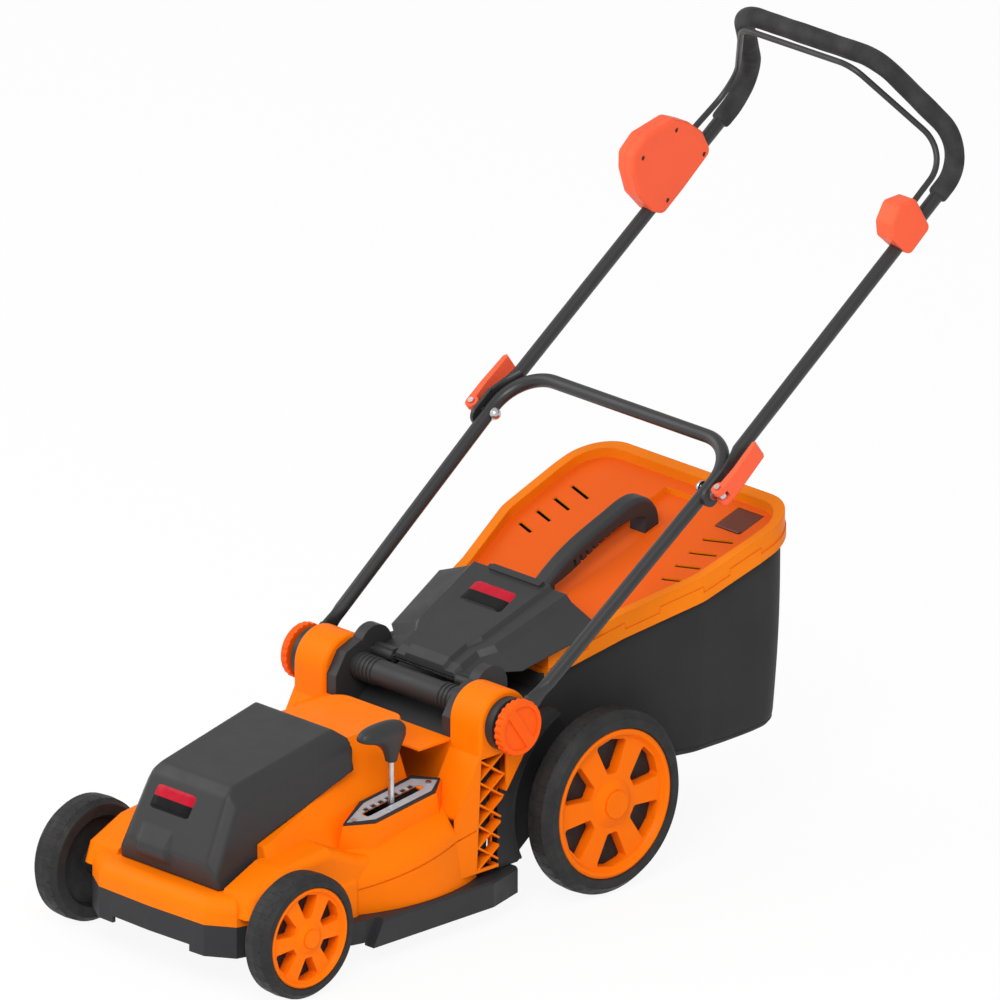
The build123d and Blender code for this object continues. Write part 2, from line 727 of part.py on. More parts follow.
def rear_wall():
    """One side of the rear frame: bearing wall, wheel arch, foot under the post, backing of its lattice."""
    gap = MOVE_GAP
    wall_side = face_of([
        (214 + gap, 62),
        (250, 62),
        (300, 100),
        (CHUTE_END_Y + 20, 100),
        (CHUTE_END_Y + 20, 200),
        (320, 250),
        (PIVOT_Y + POST_R + gap, 250),
        (PIVOT_Y + POST_R + gap, 221),
        (214 + gap, 160),
    ])
    wall = side_plate(wall_side, REAR_WALL_X - REAR_WALL_T, REAR_WALL_X)
    arch_side = wall_side - Pos(REAR_AXLE_Y, REAR_WHEEL_R) * Circle(ARCH_R)
    arch = side_plate(arch_side, REAR_WALL_X, ARCH_X)
    ring = Pos(REAR_AXLE_Y, REAR_WHEEL_R) * (Circle(ARCH_R + 3) - Circle(ARCH_R))
    lip = side_plate(ring & wall_side, REAR_WALL_X, ARCH_X + 2)
    foot = block(CHUTE_HALF_W - 4, REAR_WALL_X, 150, 226, SKIRT_Z - 6, SKIRT_Z)
    foot += block(CHUTE_HALF_W - 4, REAR_WALL_X, 208, 226, SKIRT_Z - 6, SKIRT_Z + 8)
    web = block(CHUTE_HALF_W - 2, REAR_WALL_X, CHUTE_END_Y - 60, CHUTE_END_Y - 56, 150, 236)
    boss = rod_x(BUSH_R + 5, REAR_WALL_X - BUSH_T, REAR_WALL_X, REAR_SHAFT_Y, REAR_SHAFT_Z)
    strip = Pos(DECK_REAR_Y + gap + 25, SKIRT_Z + 75) * Rectangle(50, 150)
    backing = side_plate(post_side(COVER_WALL + gap) & strip, REAR_WALL_X - REAR_WALL_T, REAR_WALL_X)
    inner_x = REAR_WALL_X - REAR_WALL_T
    backing += block(inner_x, REAR_WALL_X, DECK_REAR_Y + gap, 202, SKIRT_Z - 1, SKIRT_Z + 15)
    return wall + arch + lip + foot + web + boss + backing


def front_bearing():
    """One front axle bearing block on the plate."""
    x0 = FRONT_BEARING_X
    block_low = block(x0 - BUSH_T, x0, FRONT_SHAFT_Y - 16, FRONT_SHAFT_Y + 16, PLATE_Z, FRONT_SHAFT_Z)
    return block_low + rod_x(BUSH_R + 6, x0 - BUSH_T, x0, FRONT_SHAFT_Y, FRONT_SHAFT_Z)


def lever_boss():
    """Boss on the plate with the fixed pin of the height lever."""
    x1 = LINK_X - LEVER_PLATE_T - 2 * MOVE_GAP
    boss = block(x1 - 14, x1, LEVER_Y - 12, LEVER_Y + 12, PLATE_Z, LEVER_Z)
    boss += rod_x(12, x1 - 14, x1, LEVER_Y, LEVER_Z)
    return boss + rod_x(AXLE_R, x1 - 14, LINK_X - MOVE_GAP + 1, LEVER_Y, LEVER_Z)


def deck_chassis():
    """Dark pan that carries motor, axles, chute and rear wheel arches."""
    pan = plan_plate(deck_outline(COVER_WALL + MOVE_GAP), PLATE_Z, PLATE_Z + PLATE_T)
    pan += front_band() + chamber_ring()
    pan += both_sides(side_bumper())
    pan += chute_outer()
    pan += both_sides(rear_wall())
    pan += both_sides(front_bearing())
    pan += lever_boss()
    pan -= chute_inner()
    pan -= rod_z(SPINDLE_R + 4, 0, 0, PLATE_Z - 5, PLATE_Z + 10)
    bush = rod_x(BUSH_R, REAR_WALL_X - BUSH_T - 1, REAR_WALL_X + 1, REAR_SHAFT_Y, REAR_SHAFT_Z)
    bush += rod_x(BUSH_R, 120, 150, FRONT_SHAFT_Y, FRONT_SHAFT_Z)
    pan -= both_sides(bush)
    return pan - rod_x(BUSH_R - 1, -REAR_WALL_X, REAR_WALL_X, REAR_SHAFT_Y, REAR_SHAFT_Z)


def axle_bushes():
    """Four plain bushes that carry the two cross shafts."""
    ring = Circle(BUSH_R) - Circle(AXLE_R + RUN_FIT)
    rear = Plane.YZ.offset(REAR_WALL_X - BUSH_T) * Pos(REAR_SHAFT_Y, REAR_SHAFT_Z) * ring
    front = Plane.YZ.offset(FRONT_BEARING_X - BUSH_T) * Pos(FRONT_SHAFT_Y, FRONT_SHAFT_Z) * ring
    left = extrude(rear, BUSH_T) + extrude(front, BUSH_T)
    return both_sides(left)


# Hood, motor, battery and blade


def hood_section(y, half_low, z_strip, half_strip, z_top, half_top, inset):
    """One cross section of the hood: side, bevelled strip and flat top, with soft corners."""
    low = HOOD_FRONT_Z - 20 * inset - 10
    flat = face_of([
        (-half_low + inset, low),
        (half_low - inset, low),
        (half_strip - inset, z_strip - 0.5 * inset),
        (half_top - 0.5 * inset, z_top - inset),
        (-half_top + 0.5 * inset, z_top - inset),
        (-half_strip + inset, z_strip - 0.5 * inset),
    ])
    soft = fillet(flat.vertices().filter_by(lambda v: v.Y > low + 1), HOOD_SOFT_R - inset)
    return Plane(origin=(0, y, 0), x_dir=(1, 0, 0), z_dir=(0, -1, 0)) * soft


def hood_form(inset):
    """Outer or inner form of the hood: steep nose, crowned top and falling tail."""
    return loft([
        hood_section(-221 + inset, 76, 128, 72, 138, 60, inset),
        hood_section(-214 + inset, 85, 149, 79, 162, 66, inset),
        hood_section(-204 + inset, 90, 168, 81, 186, 67, inset),
        hood_section(-184 + inset, 94, 199, 82, 224, 65, inset),
        hood_section(-160 + inset, 96, 219, 82, 247, 64, inset),
        hood_section(-100, 97, 233, 84, 261, 66, inset),
        hood_section(-30, 98, 245, 87, 273, 70, inset),
        hood_section(8, 98, 249, 88, 276, 71, inset),
        hood_section(HOOD_REAR_Y - inset, 98, 242, 87, 266, 69, inset),
    ])




def motor_hood():
    """Dark hood over battery and motor, with latch tab and hinge lugs."""
    hood = hood_form(0) - hood_form(HOOD_WALL)
    tab = side_plate(face_of([(-216, 136), (-223, 141), (-214, 176), (-205, 178)]), -24, 24)
    hood += fillet(tab.edges().filter_by(lambda e: abs(e.center().X) > 23 and e.center().Y < -208), 3)
    hood &= hood_seat(0)
    hood -= block(-66, 66, HOOD_HINGE_Y + 3, HOOD_REAR_Y + 5, HOOD_REAR_Z - 5, HOOD_HINGE_Z + 6)
    lug_end = HINGE_LUG_X + HINGE_LUG_W
    lug = rod_x(7, HINGE_LUG_X, lug_end, HOOD_HINGE_Y, HOOD_HINGE_Z)
    lug += block(HINGE_LUG_X, lug_end, HOOD_HINGE_Y - 6, HOOD_HINGE_Y + 6, HOOD_HINGE_Z, HOOD_HINGE_Z + 18)
    hood += both_sides(lug & hood_form(HOOD_WALL / 2))
    return hood - rod_x(HINGE_PIN_R + RUN_FIT, -70, 70, HOOD_HINGE_Y, HOOD_HINGE_Z)


def hood_hinge_pin():
    """Pin of the hood hinge."""
    reach = HINGE_LUG_X + HINGE_LUG_W + MOVE_GAP + HINGE_EAR_T
    return rod_x(HINGE_PIN_R, -reach, reach, HOOD_HINGE_Y, HOOD_HINGE_Z)


def motor_can():
    """Finned motor can on the plate."""
    low = PLATE_Z + PLATE_T
    can = rod_z(MOTOR_R, 0, 0, low, low + MOTOR_H)
    can = chamfer(can.faces().sort_by(Axis.Z)[-1].edges(), 6)
    fin = Pos(0, MOTOR_R, low + MOTOR_H / 2) * Box(3, 6, MOTOR_H * 0.6)
    for turn in range(16):
        can += Rot(0, 0, 22.5 * turn) * fin
    can += rod_z(24, 0, 0, low + MOTOR_H, low + MOTOR_H + 10)
    return can - rod_z(SPINDLE_R + RUN_FIT, 0, 0, low - 1, low + 40)


def motor_shaft():
    """Spindle from the motor down to the blade."""
    return rod_z(SPINDLE_R, 0, 0, BLADE_Z - 6, PLATE_Z + PLATE_T + 38)


def blade_holder():
    """Fan disc that seats the blade on the spindle."""
    low = BLADE_Z + BLADE_T
    disc = rod_z(34, 0, 0, low, low + 5) + rod_z(18, 0, 0, low, PLATE_Z - 6)
    vane = block(-2, 2, 16, 34, BLADE_Z + BLADE_T, BLADE_Z + BLADE_T + 18)
    for turn in range(6):
        disc += Rot(0, 0, 60 * turn) * vane
    return disc - rod_z(SPINDLE_R, 0, 0, 0, 100)


def blade():
    """Cutting bar with bevelled edges and upturned wings."""
    bar = Pos(0, 0, BLADE_Z + BLADE_T / 2) * Box(2 * BLADE_R, BLADE_W, BLADE_T)
    half = BLADE_W / 2
    bevel = Plane.YZ.offset(BLADE_R - 90) * face_of([
        (-half - 1, BLADE_Z + 1),
        (-half + 12, BLADE_Z + BLADE_T + 0.1),
        (-half - 1, BLADE_Z + BLADE_T + 0.1),
    ])
    bevel = extrude(bevel, 100)
    wing = Pos(BLADE_R - 42, half - 2, BLADE_Z + BLADE_T / 2 + 2.5) * Rot(25, 0, 0) * Box(52, 18, 3)
    for turn in (0, 180):
        bar -= Rot(0, 0, turn) * bevel
        bar += Rot(0, 0, turn) * wing
    bar &= rod_z(BLADE_R, 0, 0, 0, 100)
    return bar - rod_z(SPINDLE_R, 0, 0, 0, 100)


def blade_bolt():
    """Hexagon bolt and washer under the blade."""
    head = extrude(Plane.XY.offset(BLADE_Z - 14) * RegularPolygon(11, 6), 8)
    return head + rod_z(17, 0, 0, BLADE_Z - 6, BLADE_Z) - rod_z(SPINDLE_R, 0, 0, BLADE_Z - 6, 100)


DOCK_FLOOR_Z = 114.0


def battery_dock():
    """Slotted cradle on the plate that holds the battery."""
    low = PLATE_Z + PLATE_T
    dock = block(-56, 56, -160, -62, low, low + 46) - block(-46, 46, -152, -70, DOCK_FLOOR_Z, low + 60)
    return dock - block(-60, 60, FRONT_SHAFT_Y - 10, FRONT_SHAFT_Y + 10, low - 1, FRONT_SHAFT_Z + 10)


def battery_pack():
    """Block battery with a pull handle and latch button."""
    low = DOCK_FLOOR_Z
    pack = block(-46, 46, -152, -70, low, low + 72)
    pack = fillet(pack.edges().filter_by(Axis.Z), 8)
    pack += block(-26, 26, -146, -118, low + 70, low + 88)
    grip = block(-20, 20, -136, -126, low + 74, low + 86)
    return pack - grip


# Height gate


def gate_plate():
    """Bright plate with the notched slot of the height lever."""
    plate = gate_outline(0)
    slot = Pos(LINK_X - LEVER_PLATE_T / 2 - MOVE_GAP - GATE_X, 3) * Rot(0, 0, 90)
    plate -= slot * SlotOverall(104, 2 * LEVER_R + 4)
    for notch in range(7):
        plate -= Pos(-6, -36 + 13 * notch) * Rectangle(9, 8)
    return extrude(gate_frame().offset(-GATE_T) * plate, GATE_T)


def gate_liner():
    """Dark liner frame around the gate plate."""
    rim = gate_outline(4) - gate_outline(MOVE_GAP)
    return extrude(gate_frame().offset(-GATE_T) * rim, GATE_T + 1.5)


def gate_screws():
    """Two screws that hold the gate plate."""
    screws = None
    for y in (-66, 66):
        head = extrude(gate_frame() * Pos(2, y) * Circle(4), 1.6)
        screws = head if screws is None else screws + head
    return screws


# Rear bridge, carry bar and flap

BAR_Y = 219.0
BAR_Z = 268.0
BAR_R = 17.0
CHEEK_IN_X = 97.0
FLAP_HINGE_Y = 245.0
FLAP_HINGE_Z = 283.0
FLAP_ROD_R = 4.0
FLAP_WALL = 3.0
FLAP_FRONT_Z = 305.0
FLAP_RISE = 0.39
FLAP_END_Y = 410.0


def rear_bridge():
    """Two cheeks between the posts joined by a sloping web under the carry bar."""
    side = face_of([
        (DECK_REAR_Y, 158),
        (DECK_REAR_Y, 262),
        (196, 290),
        (222, 300),
        (258, 294),
        (264, 270),
        (264, 242),
    ])
    side += Pos(FLAP_HINGE_Y + 4, FLAP_HINGE_Z + 3) * Circle(28)
    side -= face_of([(FLAP_HINGE_Y, 200), (300, 200), (300, 243.5), (265, 243.5)])
    cheek = side_plate(side, CHEEK_IN_X, POST_IN_X)
    web_side = face_of([(DECK_REAR_Y, 196), (258, 250), (258, 240), (DECK_REAR_Y, 186)])
    bridge = both_sides(cheek) + side_plate(web_side, -CHEEK_IN_X, CHEEK_IN_X)
    bridge -= both_sides(rod_x(BOLT_R + RUN_FIT, 90, 120, PIVOT_Y, PIVOT_Z))
    return bridge - rod_x(FLAP_ROD_R, -120, 120, FLAP_HINGE_Y, FLAP_HINGE_Z)


def carry_bar():
    """Carry bar with gripping rings near its ends."""
    bar = rod_x(BAR_R, -CHEEK_IN_X, CHEEK_IN_X, BAR_Y, BAR_Z)
    for ring in range(5):
        x = 60 + 7 * ring
        bar += both_sides(rod_x(BAR_R + 1.5, x, x + 3.5, BAR_Y, BAR_Z))
    return bar


def flap_hinge_rod():
    """Rod on which the rear flap turns."""
    return rod_x(FLAP_ROD_R, -POST_IN_X + 2, POST_IN_X - 2, FLAP_HINGE_Y, FLAP_HINGE_Z)


def flap_section(y, z, half_w, drop, inset):
    """Cross section of the flap: raised middle panel, step, bevel and skirt."""
    low = z - drop - 30 * inset
    return Plane(origin=(0, y, 0), x_dir=(1, 0, 0), z_dir=(0, -1, 0)) * face_of([
        (-half_w + inset, low),
        (half_w - inset, low),
        (half_w * 0.63 - inset, z - 13 - inset),
        (half_w * 0.57 - inset, z - 5 - inset),
        (half_w * 0.40 - inset, z - 5 - inset),
        (half_w * 0.37 - inset, z - inset),
        (-half_w * 0.37 + inset, z - inset),
        (-half_w * 0.40 + inset, z - 5 - inset),
        (-half_w * 0.57 + inset, z - 5 - inset),
        (-half_w * 0.63 + inset, z - 13 - inset),
    ])


def flap_form(inset):
    """Outer or inner form of the rear flap."""
    end_z = FLAP_FRONT_Z + FLAP_RISE * (FLAP_END_Y - 250)
    return loft([
        flap_section(241 + inset * 0.5, FLAP_FRONT_Z - 9, 92, 14, inset),
        flap_section(252, FLAP_FRONT_Z, 94, 20, inset),
        flap_section(280, FLAP_FRONT_Z + FLAP_RISE * 30, 95.5, 24, inset),
        flap_section(298, FLAP_FRONT_Z + FLAP_RISE * 48, 120, 27, inset),
        flap_section(FLAP_END_Y - inset, end_z, 148, 34, inset),
    ], ruled=True)


def rear_flap():
    """Sprung flap over the discharge, with hinge barrels and a pull lip."""
    flap = flap_form(0) - flap_form(FLAP_WALL)
    end_z = FLAP_FRONT_Z + FLAP_RISE * (FLAP_END_Y - 250)
    flap += Pos(0, FLAP_END_Y - 6, end_z - 1.5) * Rot(21, 0, 0) * Box(92, 10, 6)
    barrel = rod_x(FLAP_ROD_R + 4, 58, 92, FLAP_HINGE_Y, FLAP_HINGE_Z)
    barrel += block(58, 92, FLAP_HINGE_Y - 3, FLAP_HINGE_Y + 6, FLAP_HINGE_Z + 2, FLAP_HINGE_Z + 10)
    flap += both_sides(barrel)
    return flap - rod_x(FLAP_ROD_R + RUN_FIT, -120, 120, FLAP_HINGE_Y, FLAP_HINGE_Z)


# Handle


def leg_x(s):
    """Half-spread of the lower handle legs at distance s from the pivot."""
    return FOOT_X + (CAM_LEG_X - FOOT_X) * s / CAM_S


def upper_leg_x(s):
    """Half-spread of the upper handle legs at distance s from the pivot."""
    start = CAM_S + UPPER_ROUND_S
    return UPPER_X + (LOOP_ELBOW_X - UPPER_X) * (s - start) / (LOOP_ELBOW_S - start)


UPPER_ROUND_S = 66.0
UPPER_FLAT_X = 210.9
UPPER_FLAT_T = 5.0
FOOT_ROUND_S = 72.0


def across(point):
    """Point mirrored to the right-hand side."""
    return Vector(-point.X, point.Y, point.Z)


def leg_section(s, x):
    """Plane across a leg at distance s, local x along X."""
    return Plane(origin=on_handle(s, 0, x), x_dir=(1, 0, 0), z_dir=(0, SLOPE_COS, SLOPE_SIN))


def flat_end(x, thickness, s0, s1, path):
    """Flattened tube end: plate, then a transition to the start of the round tube's path."""
    sketch = Pos((s0 + s1) / 2, 0) * Rectangle(s1 - s0, FLAT_W)
    plate = handle_plate(sketch, x - thickness / 2, x + thickness / 2)
    cross = plate.edges().filter_by(Axis.X)
    ends = cross.sort_by(lambda e: e.center().Y * SLOPE_COS + e.center().Z * SLOPE_SIN)
    plate = fillet(ends[:2], FLAT_W * 0.48)
    flat = leg_section(s1, x) * RectangleRounded(thickness, FLAT_W, thickness * 0.45)
    ring = Plane(origin=path @ 0, x_dir=(1, 0, 0), z_dir=path % 0) * Circle(TUBE_R)
    return plate + loft([flat, ring])


def lower_handle_tube():
    """Lower U-tube: two legs with flattened feet and the crossbar behind the clamps."""
    foot = on_handle(FOOT_ROUND_S, 0, leg_x(FOOT_ROUND_S))
    corner = on_handle(CROSSBAR_S, 0, leg_x(CROSSBAR_S))
    path = FilletPolyline(foot, corner, across(corner), across(foot), radius=CROSSBAR_BEND)
    cam = on_handle(CAM_S, 0, 0)
    tube = pipe(path, TUBE_R, TUBE_R - TUBE_WALL)
    tube -= both_sides(rod_x(BOLT_R + RUN_FIT, 150, 220, cam.Y, cam.Z))
    end = flat_end(FOOT_X, FLAT_T, -FLAT_W / 2, KNOB_R + 3, path)
    end -= rod_x(BOLT_R + RUN_FIT, 150, 220, PIVOT_Y, PIVOT_Z)
    return tube + both_sides(end)


def upper_path(start_s):
    """Centre line of the upper handle from distance start_s round the loop and back."""
    foot = on_handle(start_s, 0, upper_leg_x(start_s))
    elbow = on_handle(LOOP_ELBOW_S, 0, LOOP_ELBOW_X)
    top = Vector(LOOP_TOP_X, LOOP_TOP_Y, LOOP_TOP_Z)
    points = [foot, elbow, top, across(top), across(elbow), across(foot)]
    bends = [LOOP_ELBOW_BEND, LOOP_TOP_BEND, LOOP_TOP_BEND, LOOP_ELBOW_BEND]
    return FilletPolyline(*points, radius=bends)


def upper_handle_tube():
    """Upper tube: flattened lower ends outside the lower legs and the narrowing top loop."""
    start = CAM_S + UPPER_ROUND_S
    path = upper_path(start)
    cam = on_handle(CAM_S, 0, 0)
    end = flat_end(UPPER_FLAT_X, UPPER_FLAT_T, CAM_S - 22, CAM_S + 25, path)
    end -= rod_x(BOLT_R, 205, 220, cam.Y, cam.Z)
    return pipe(path, TUBE_R, TUBE_R - TUBE_WALL) + both_sides(end)


def foam_grip():
    """Foam sleeve over the whole top loop."""
    return pipe(upper_path(GRIP_S), GRIP_R, TUBE_R)


def handle_bosses():
    """Toothed bosses between the posts and the handle feet."""
    boss = rod_x(BOSS_R, POST_OUT_X, FOOT_X - FLAT_T / 2 - MOVE_GAP, PIVOT_Y, PIVOT_Z)
    return both_sides(boss - rod_x(BOLT_R + RUN_FIT, 160, 200, PIVOT_Y, PIVOT_Z))


def pivot_bolts():
    """Bolts through posts and handle feet."""
    bolt = rod_x(BOLT_R, CHEEK_IN_X + 1, FOOT_X + FLAT_T / 2 + 9, PIVOT_Y, PIVOT_Z)
    return both_sides(bolt)


def clamp_knob(side):
    """Scalloped knob with a raised ring and a finger bar on its face."""
    x0 = FOOT_X + FLAT_T / 2 + CLAMP_GAP
    knob = Pos(0, 0, KNOB_T / 2) * Cylinder(KNOB_R, KNOB_T)
    knob = chamfer(knob.faces().sort_by(Axis.Z)[-1].edges(), 2.5)
    scallop = Pos(KNOB_R + 2.4, 0, KNOB_T / 2) * Cylinder(4, KNOB_T + 2)
    scallops = [Rot(0, 0, 15 * turn) * scallop for turn in range(24)]
    knob -= scallops
    dish = Pos(0, 0, KNOB_T) * Cylinder(KNOB_R - 8, 5)
    bar = Rot(0, 0, 35) * Pos(0, 0, KNOB_T) * Box(2 * KNOB_R, 15, 8)
    knob -= dish - bar
    knob -= Pos(0, 0, 4.5) * Cylinder(BOLT_R + RUN_FIT, 9.2)
    return Pos(side * x0, PIVOT_Y, PIVOT_Z) * Rot(0, 90 * side, 0) * knob


CAM_PIN_X = 224.5
CAM_PIN_R = 4.0
CAM_W = 25.0
CAM_R = 9.0
CAM_BLADE = 80.0


def cam_axis_frame(side):
    """Frame at a cam pin: local x up the handle, local z outwards from the mower."""
    origin = on_handle(CAM_S, 0, side * CAM_PIN_X)
    return Plane(origin=origin, x_dir=(0, SLOPE_COS, SLOPE_SIN), z_dir=(side, 0, 0))


def cam_lever(side):
    """Quick-release lever: eccentric head and a finger blade."""
    frame = cam_axis_frame(side)
    head = Rot(90, 0, 0) * Cylinder(CAM_R, CAM_W)
    tip = [(CAM_BLADE - 4, 6), (CAM_BLADE, 2), (CAM_BLADE - 2, -2)]
    shape = face_of([(0, -2), (0, 9), (30, 9), *tip, (34, 0)])
    blade_part = extrude(Plane.XZ * shape, CAM_W / 2, both=True)
    lever = head + blade_part
    lever -= Rot(90, 0, 0) * Cylinder(CAM_PIN_R + RUN_FIT, CAM_W + 10)
    yoke = Pos(0, 0, -10) * Box(2 * CAM_R + 6, 10, 20) + Rot(90, 0, 0) * Cylinder(CAM_R + 1, 10)
    return frame.location * (lever - yoke)


def clamp_bolts():
    """Clamp bolts with dome heads inside, washers outside and the cross pins of the cam levers."""
    bolts = None
    for side in (1, -1):
        frame = cam_axis_frame(side)
        reach = CAM_PIN_X - CAM_LEG_X
        shank = Pos(0, 0, -(reach + TUBE_R + CLAMP_GAP) / 2) * Cylinder(BOLT_R, reach + TUBE_R + CLAMP_GAP)
        dome = Pos(0, 0, -reach - TUBE_R - CLAMP_GAP) * Sphere(8.5)
        dome &= Pos(0, 0, -reach - TUBE_R - CLAMP_GAP - 10) * Box(30, 30, 20)
        washer_z = UPPER_FLAT_X + UPPER_FLAT_T / 2 - CAM_PIN_X
        washer = Pos(0, 0, washer_z + 0.8) * Cylinder(11, 1.6)
        pin = Rot(90, 0, 0) * Cylinder(CAM_PIN_R, CAM_W + 6)
        eye = Rot(90, 0, 0) * Cylinder(6.5, 9)
        bolt = frame.location * (shank + dome + washer + pin + eye)
        bolts = bolt if bolts is None else bolts + bolt
    return bolts


# Switch box, pivot block and bail

BOX_HALF_T = 15.0
BOX_WALL = 3.0
BOX_SOFT_R = 5.0
BAIL_PIVOT_S = CAM_S + 441.0
BAIL_PIVOT_N = 28.0
BAIL_PIN_R = 4.8


def box_outline():
    """Outline of the switch box in handle coordinates."""
    points = [
        (357, -14),
        (400, -14),
        (464, -11),
        (469, 23),
        (460, 53),
        (445, 77),
        (396, 98),
        (366, 95),
        (352, 76),
        (341, 42),
        (346, 3),
    ]
    return fillet(face_of([(CAM_S + s, n) for s, n in points]).vertices(), 12)


def block_outline():
    """Outline of the bail pivot block in handle coordinates."""
    points = [(407, 30), (416, -13), (463, -11), (468, 42), (442, 59), (417, 48)]
    return fillet(face_of([(CAM_S + s, n) for s, n in points]).vertices(), 9)


def bail_path():
    """Centre line of the bail from pivot to pivot."""
    foot = on_handle(BAIL_PIVOT_S, BAIL_PIVOT_N, UPPER_X)
    elbow = on_handle(LOOP_ELBOW_S - BAIL_OFF_LEG, BAIL_OFF_LEG, LOOP_ELBOW_X - 3)
    top = Vector(BAIL_TOP_X, LOOP_TOP_Y - BAIL_FORWARD, LOOP_TOP_Z - BAIL_DROP)
    points = [foot, elbow, top, across(top), across(elbow), across(foot)]
    return FilletPolyline(*points, radius=[46, 40, 40, 46])


def bail_bar():
    """Wire bail in front of the grip, with a cross pin at each foot."""
    foot = on_handle(BAIL_PIVOT_S, BAIL_PIVOT_N, 0)
    reach = BOX_HALF_T - 1.5
    pin = rod_x(BAIL_PIN_R, UPPER_X - reach, UPPER_X + reach, foot.Y, foot.Z)
    return pipe(bail_path(), BAIL_R) + both_sides(pin)


def bail_room(side):
    """Room for the bail's foot and travel inside a housing."""
    x0 = side * (UPPER_X - BAIL_R - 2)
    x1 = side * (UPPER_X + BAIL_R + 2)
    s0 = BAIL_PIVOT_S
    n0 = BAIL_PIVOT_N
    fan = face_of([(s0 - 9, n0 - 9), (s0 + 60, n0 - 19), (s0 + 60, n0 + 9), (s0 - 9, n0 + 9)])
    foot = on_handle(s0, n0, 0)
    reach = BOX_HALF_T - 1.2
    pin = rod_x(BAIL_PIN_R + RUN_FIT, UPPER_X - reach, UPPER_X + reach, foot.Y, foot.Z)
    return handle_plate(fan, x0, x1) + (pin if side > 0 else mirrored(pin))


def tube_bore(side):
    """Bore of a housing for the upper handle tube."""
    ends = (CAM_S + 320, CAM_S + 490)
    sections = [leg_section(s, side * upper_leg_x(s)) * Circle(TUBE_R + RUN_FIT) for s in ends]
    return loft(sections)


def switch_box_half(inner):
    """One half of the switch box, split along the tube."""
    x_mid = -UPPER_X
    x_face = x_mid + BOX_HALF_T if inner else x_mid - BOX_HALF_T
    half = handle_plate(box_outline(), x_mid, x_face)
    half = fillet(half.faces().sort_by(Axis.X)[-1 if inner else 0].edges(), BOX_SOFT_R)
    x_room = x_face - BOX_WALL if inner else x_face + BOX_WALL
    room = handle_plate(offset(box_outline(), -BOX_WALL), x_mid, x_room)
    room &= handle_plate(Pos(CAM_S + 400, 60) * Rectangle(200, 86), x_mid, x_room)
    half -= room
    half -= tube_bore(-1)
    half -= bail_room(-1)
    if inner:
        for s, n in BOX_SCREWS:
            half -= handle_plate(Pos(CAM_S + s, n) * Circle(3.2), x_face - 3.5, x_face + 1)
    else:
        hole = Pos(*BUTTON_AT) * Circle(BUTTON_R + RUN_FIT)
        half -= handle_plate(hole, x_face - 1, x_face + BOX_WALL + 1)
    return half


BOX_SCREWS = ((438, 62), (376, 78), (452, -3), (372, -3))
BUTTON_AT = (CAM_S + 400.0, 62.0)
BUTTON_R = 9.0
BUTTON_OUT = 7.0


def switch_box_screws():
    """Four screws sunk in the inner face of the switch box."""
    x_face = -UPPER_X + BOX_HALF_T
    screws = None
    for s, n in BOX_SCREWS:
        head = handle_plate(Pos(CAM_S + s, n) * Circle(3.2), x_face - 3.5, x_face - 1.5)
        screws = head if screws is None else screws + head
    return screws


def switch_unit():
    """Switch block inside the box."""
    x0 = -UPPER_X - BOX_HALF_T + BOX_WALL
    x1 = -UPPER_X + BOX_HALF_T - BOX_WALL
    body = handle_plate(Pos(CAM_S + 372, 46) * Rectangle(26, 30), x0, x1)
    return body


def lock_button():
    """Push button that frees the bail."""
    x_face = -UPPER_X - BOX_HALF_T
    stem = handle_plate(Pos(*BUTTON_AT) * Circle(BUTTON_R), x_face - BUTTON_OUT, x_face + BOX_WALL)
    disc = Pos(*BUTTON_AT) * Circle(BUTTON_R + 2)
    collar = handle_plate(disc, x_face + BOX_WALL + 0.3, x_face + BOX_WALL + 2)
    link = handle_plate(Pos(*BUTTON_AT) * Circle(BUTTON_R), x_face + BOX_WALL, x_face + BOX_WALL + 2)
    return chamfer(stem.faces().sort_by(Axis.X)[0].edges(), 1.5) + collar + link


def bail_pivot_block():
    """Housing of the bail's left pivot."""
    housing = handle_plate(block_outline(), UPPER_X - BOX_HALF_T + 1, UPPER_X + BOX_HALF_T)
    housing = fillet(housing.faces().sort_by(Axis.X)[-1].edges(), BOX_SOFT_R)
    return housing - tube_bore(1) - bail_room(1)


# Grass box


def lid_z(y):
    """Height of the lid's rim plane."""
    return LID_Z0 + LID_SLOPE * y


def lid_slab(low, high):
    """Slab between two planes parallel to the lid's rim plane."""
    y0, y1 = 250, 850
    return side_plate(face_of([
        (y0, lid_z(y0) + low),
        (y1, lid_z(y1) + low),
        (y1, lid_z(y1) + high),
        (y0, lid_z(y0) + high),
    ]), -300, 300)


def box_plan(inset, front_y):
    """Plan outline of the grass box, narrow between the wheels and full behind them."""
    half = [
        (120 - inset, front_y),
        (146 - inset, 450),
        (184 - inset, 556),
        (LID_HALF_W - inset, 650),
        (LID_HALF_W - inset, LID_REAR_Y - inset),
    ]
    flat = face_of(half + [(-x, y) for x, y in reversed(half)])
    rear = flat.vertices().filter_by(lambda v: v.Y > LID_REAR_Y - inset - 1)
    flat = fillet(rear, LID_CORNER_R - inset)
    bends = flat.vertices().filter_by(lambda v: front_y + 5 < v.Y < 620)
    return fillet(bends, 60)


def lid_prism(inset, low, high, front_extra=0.0):
    """Part of the lid's prism between two parallel planes."""
    prism = plan_plate(box_plan(inset, LID_FRONT_Y + inset + front_extra), 150, 650)
    return prism & lid_slab(low, high)


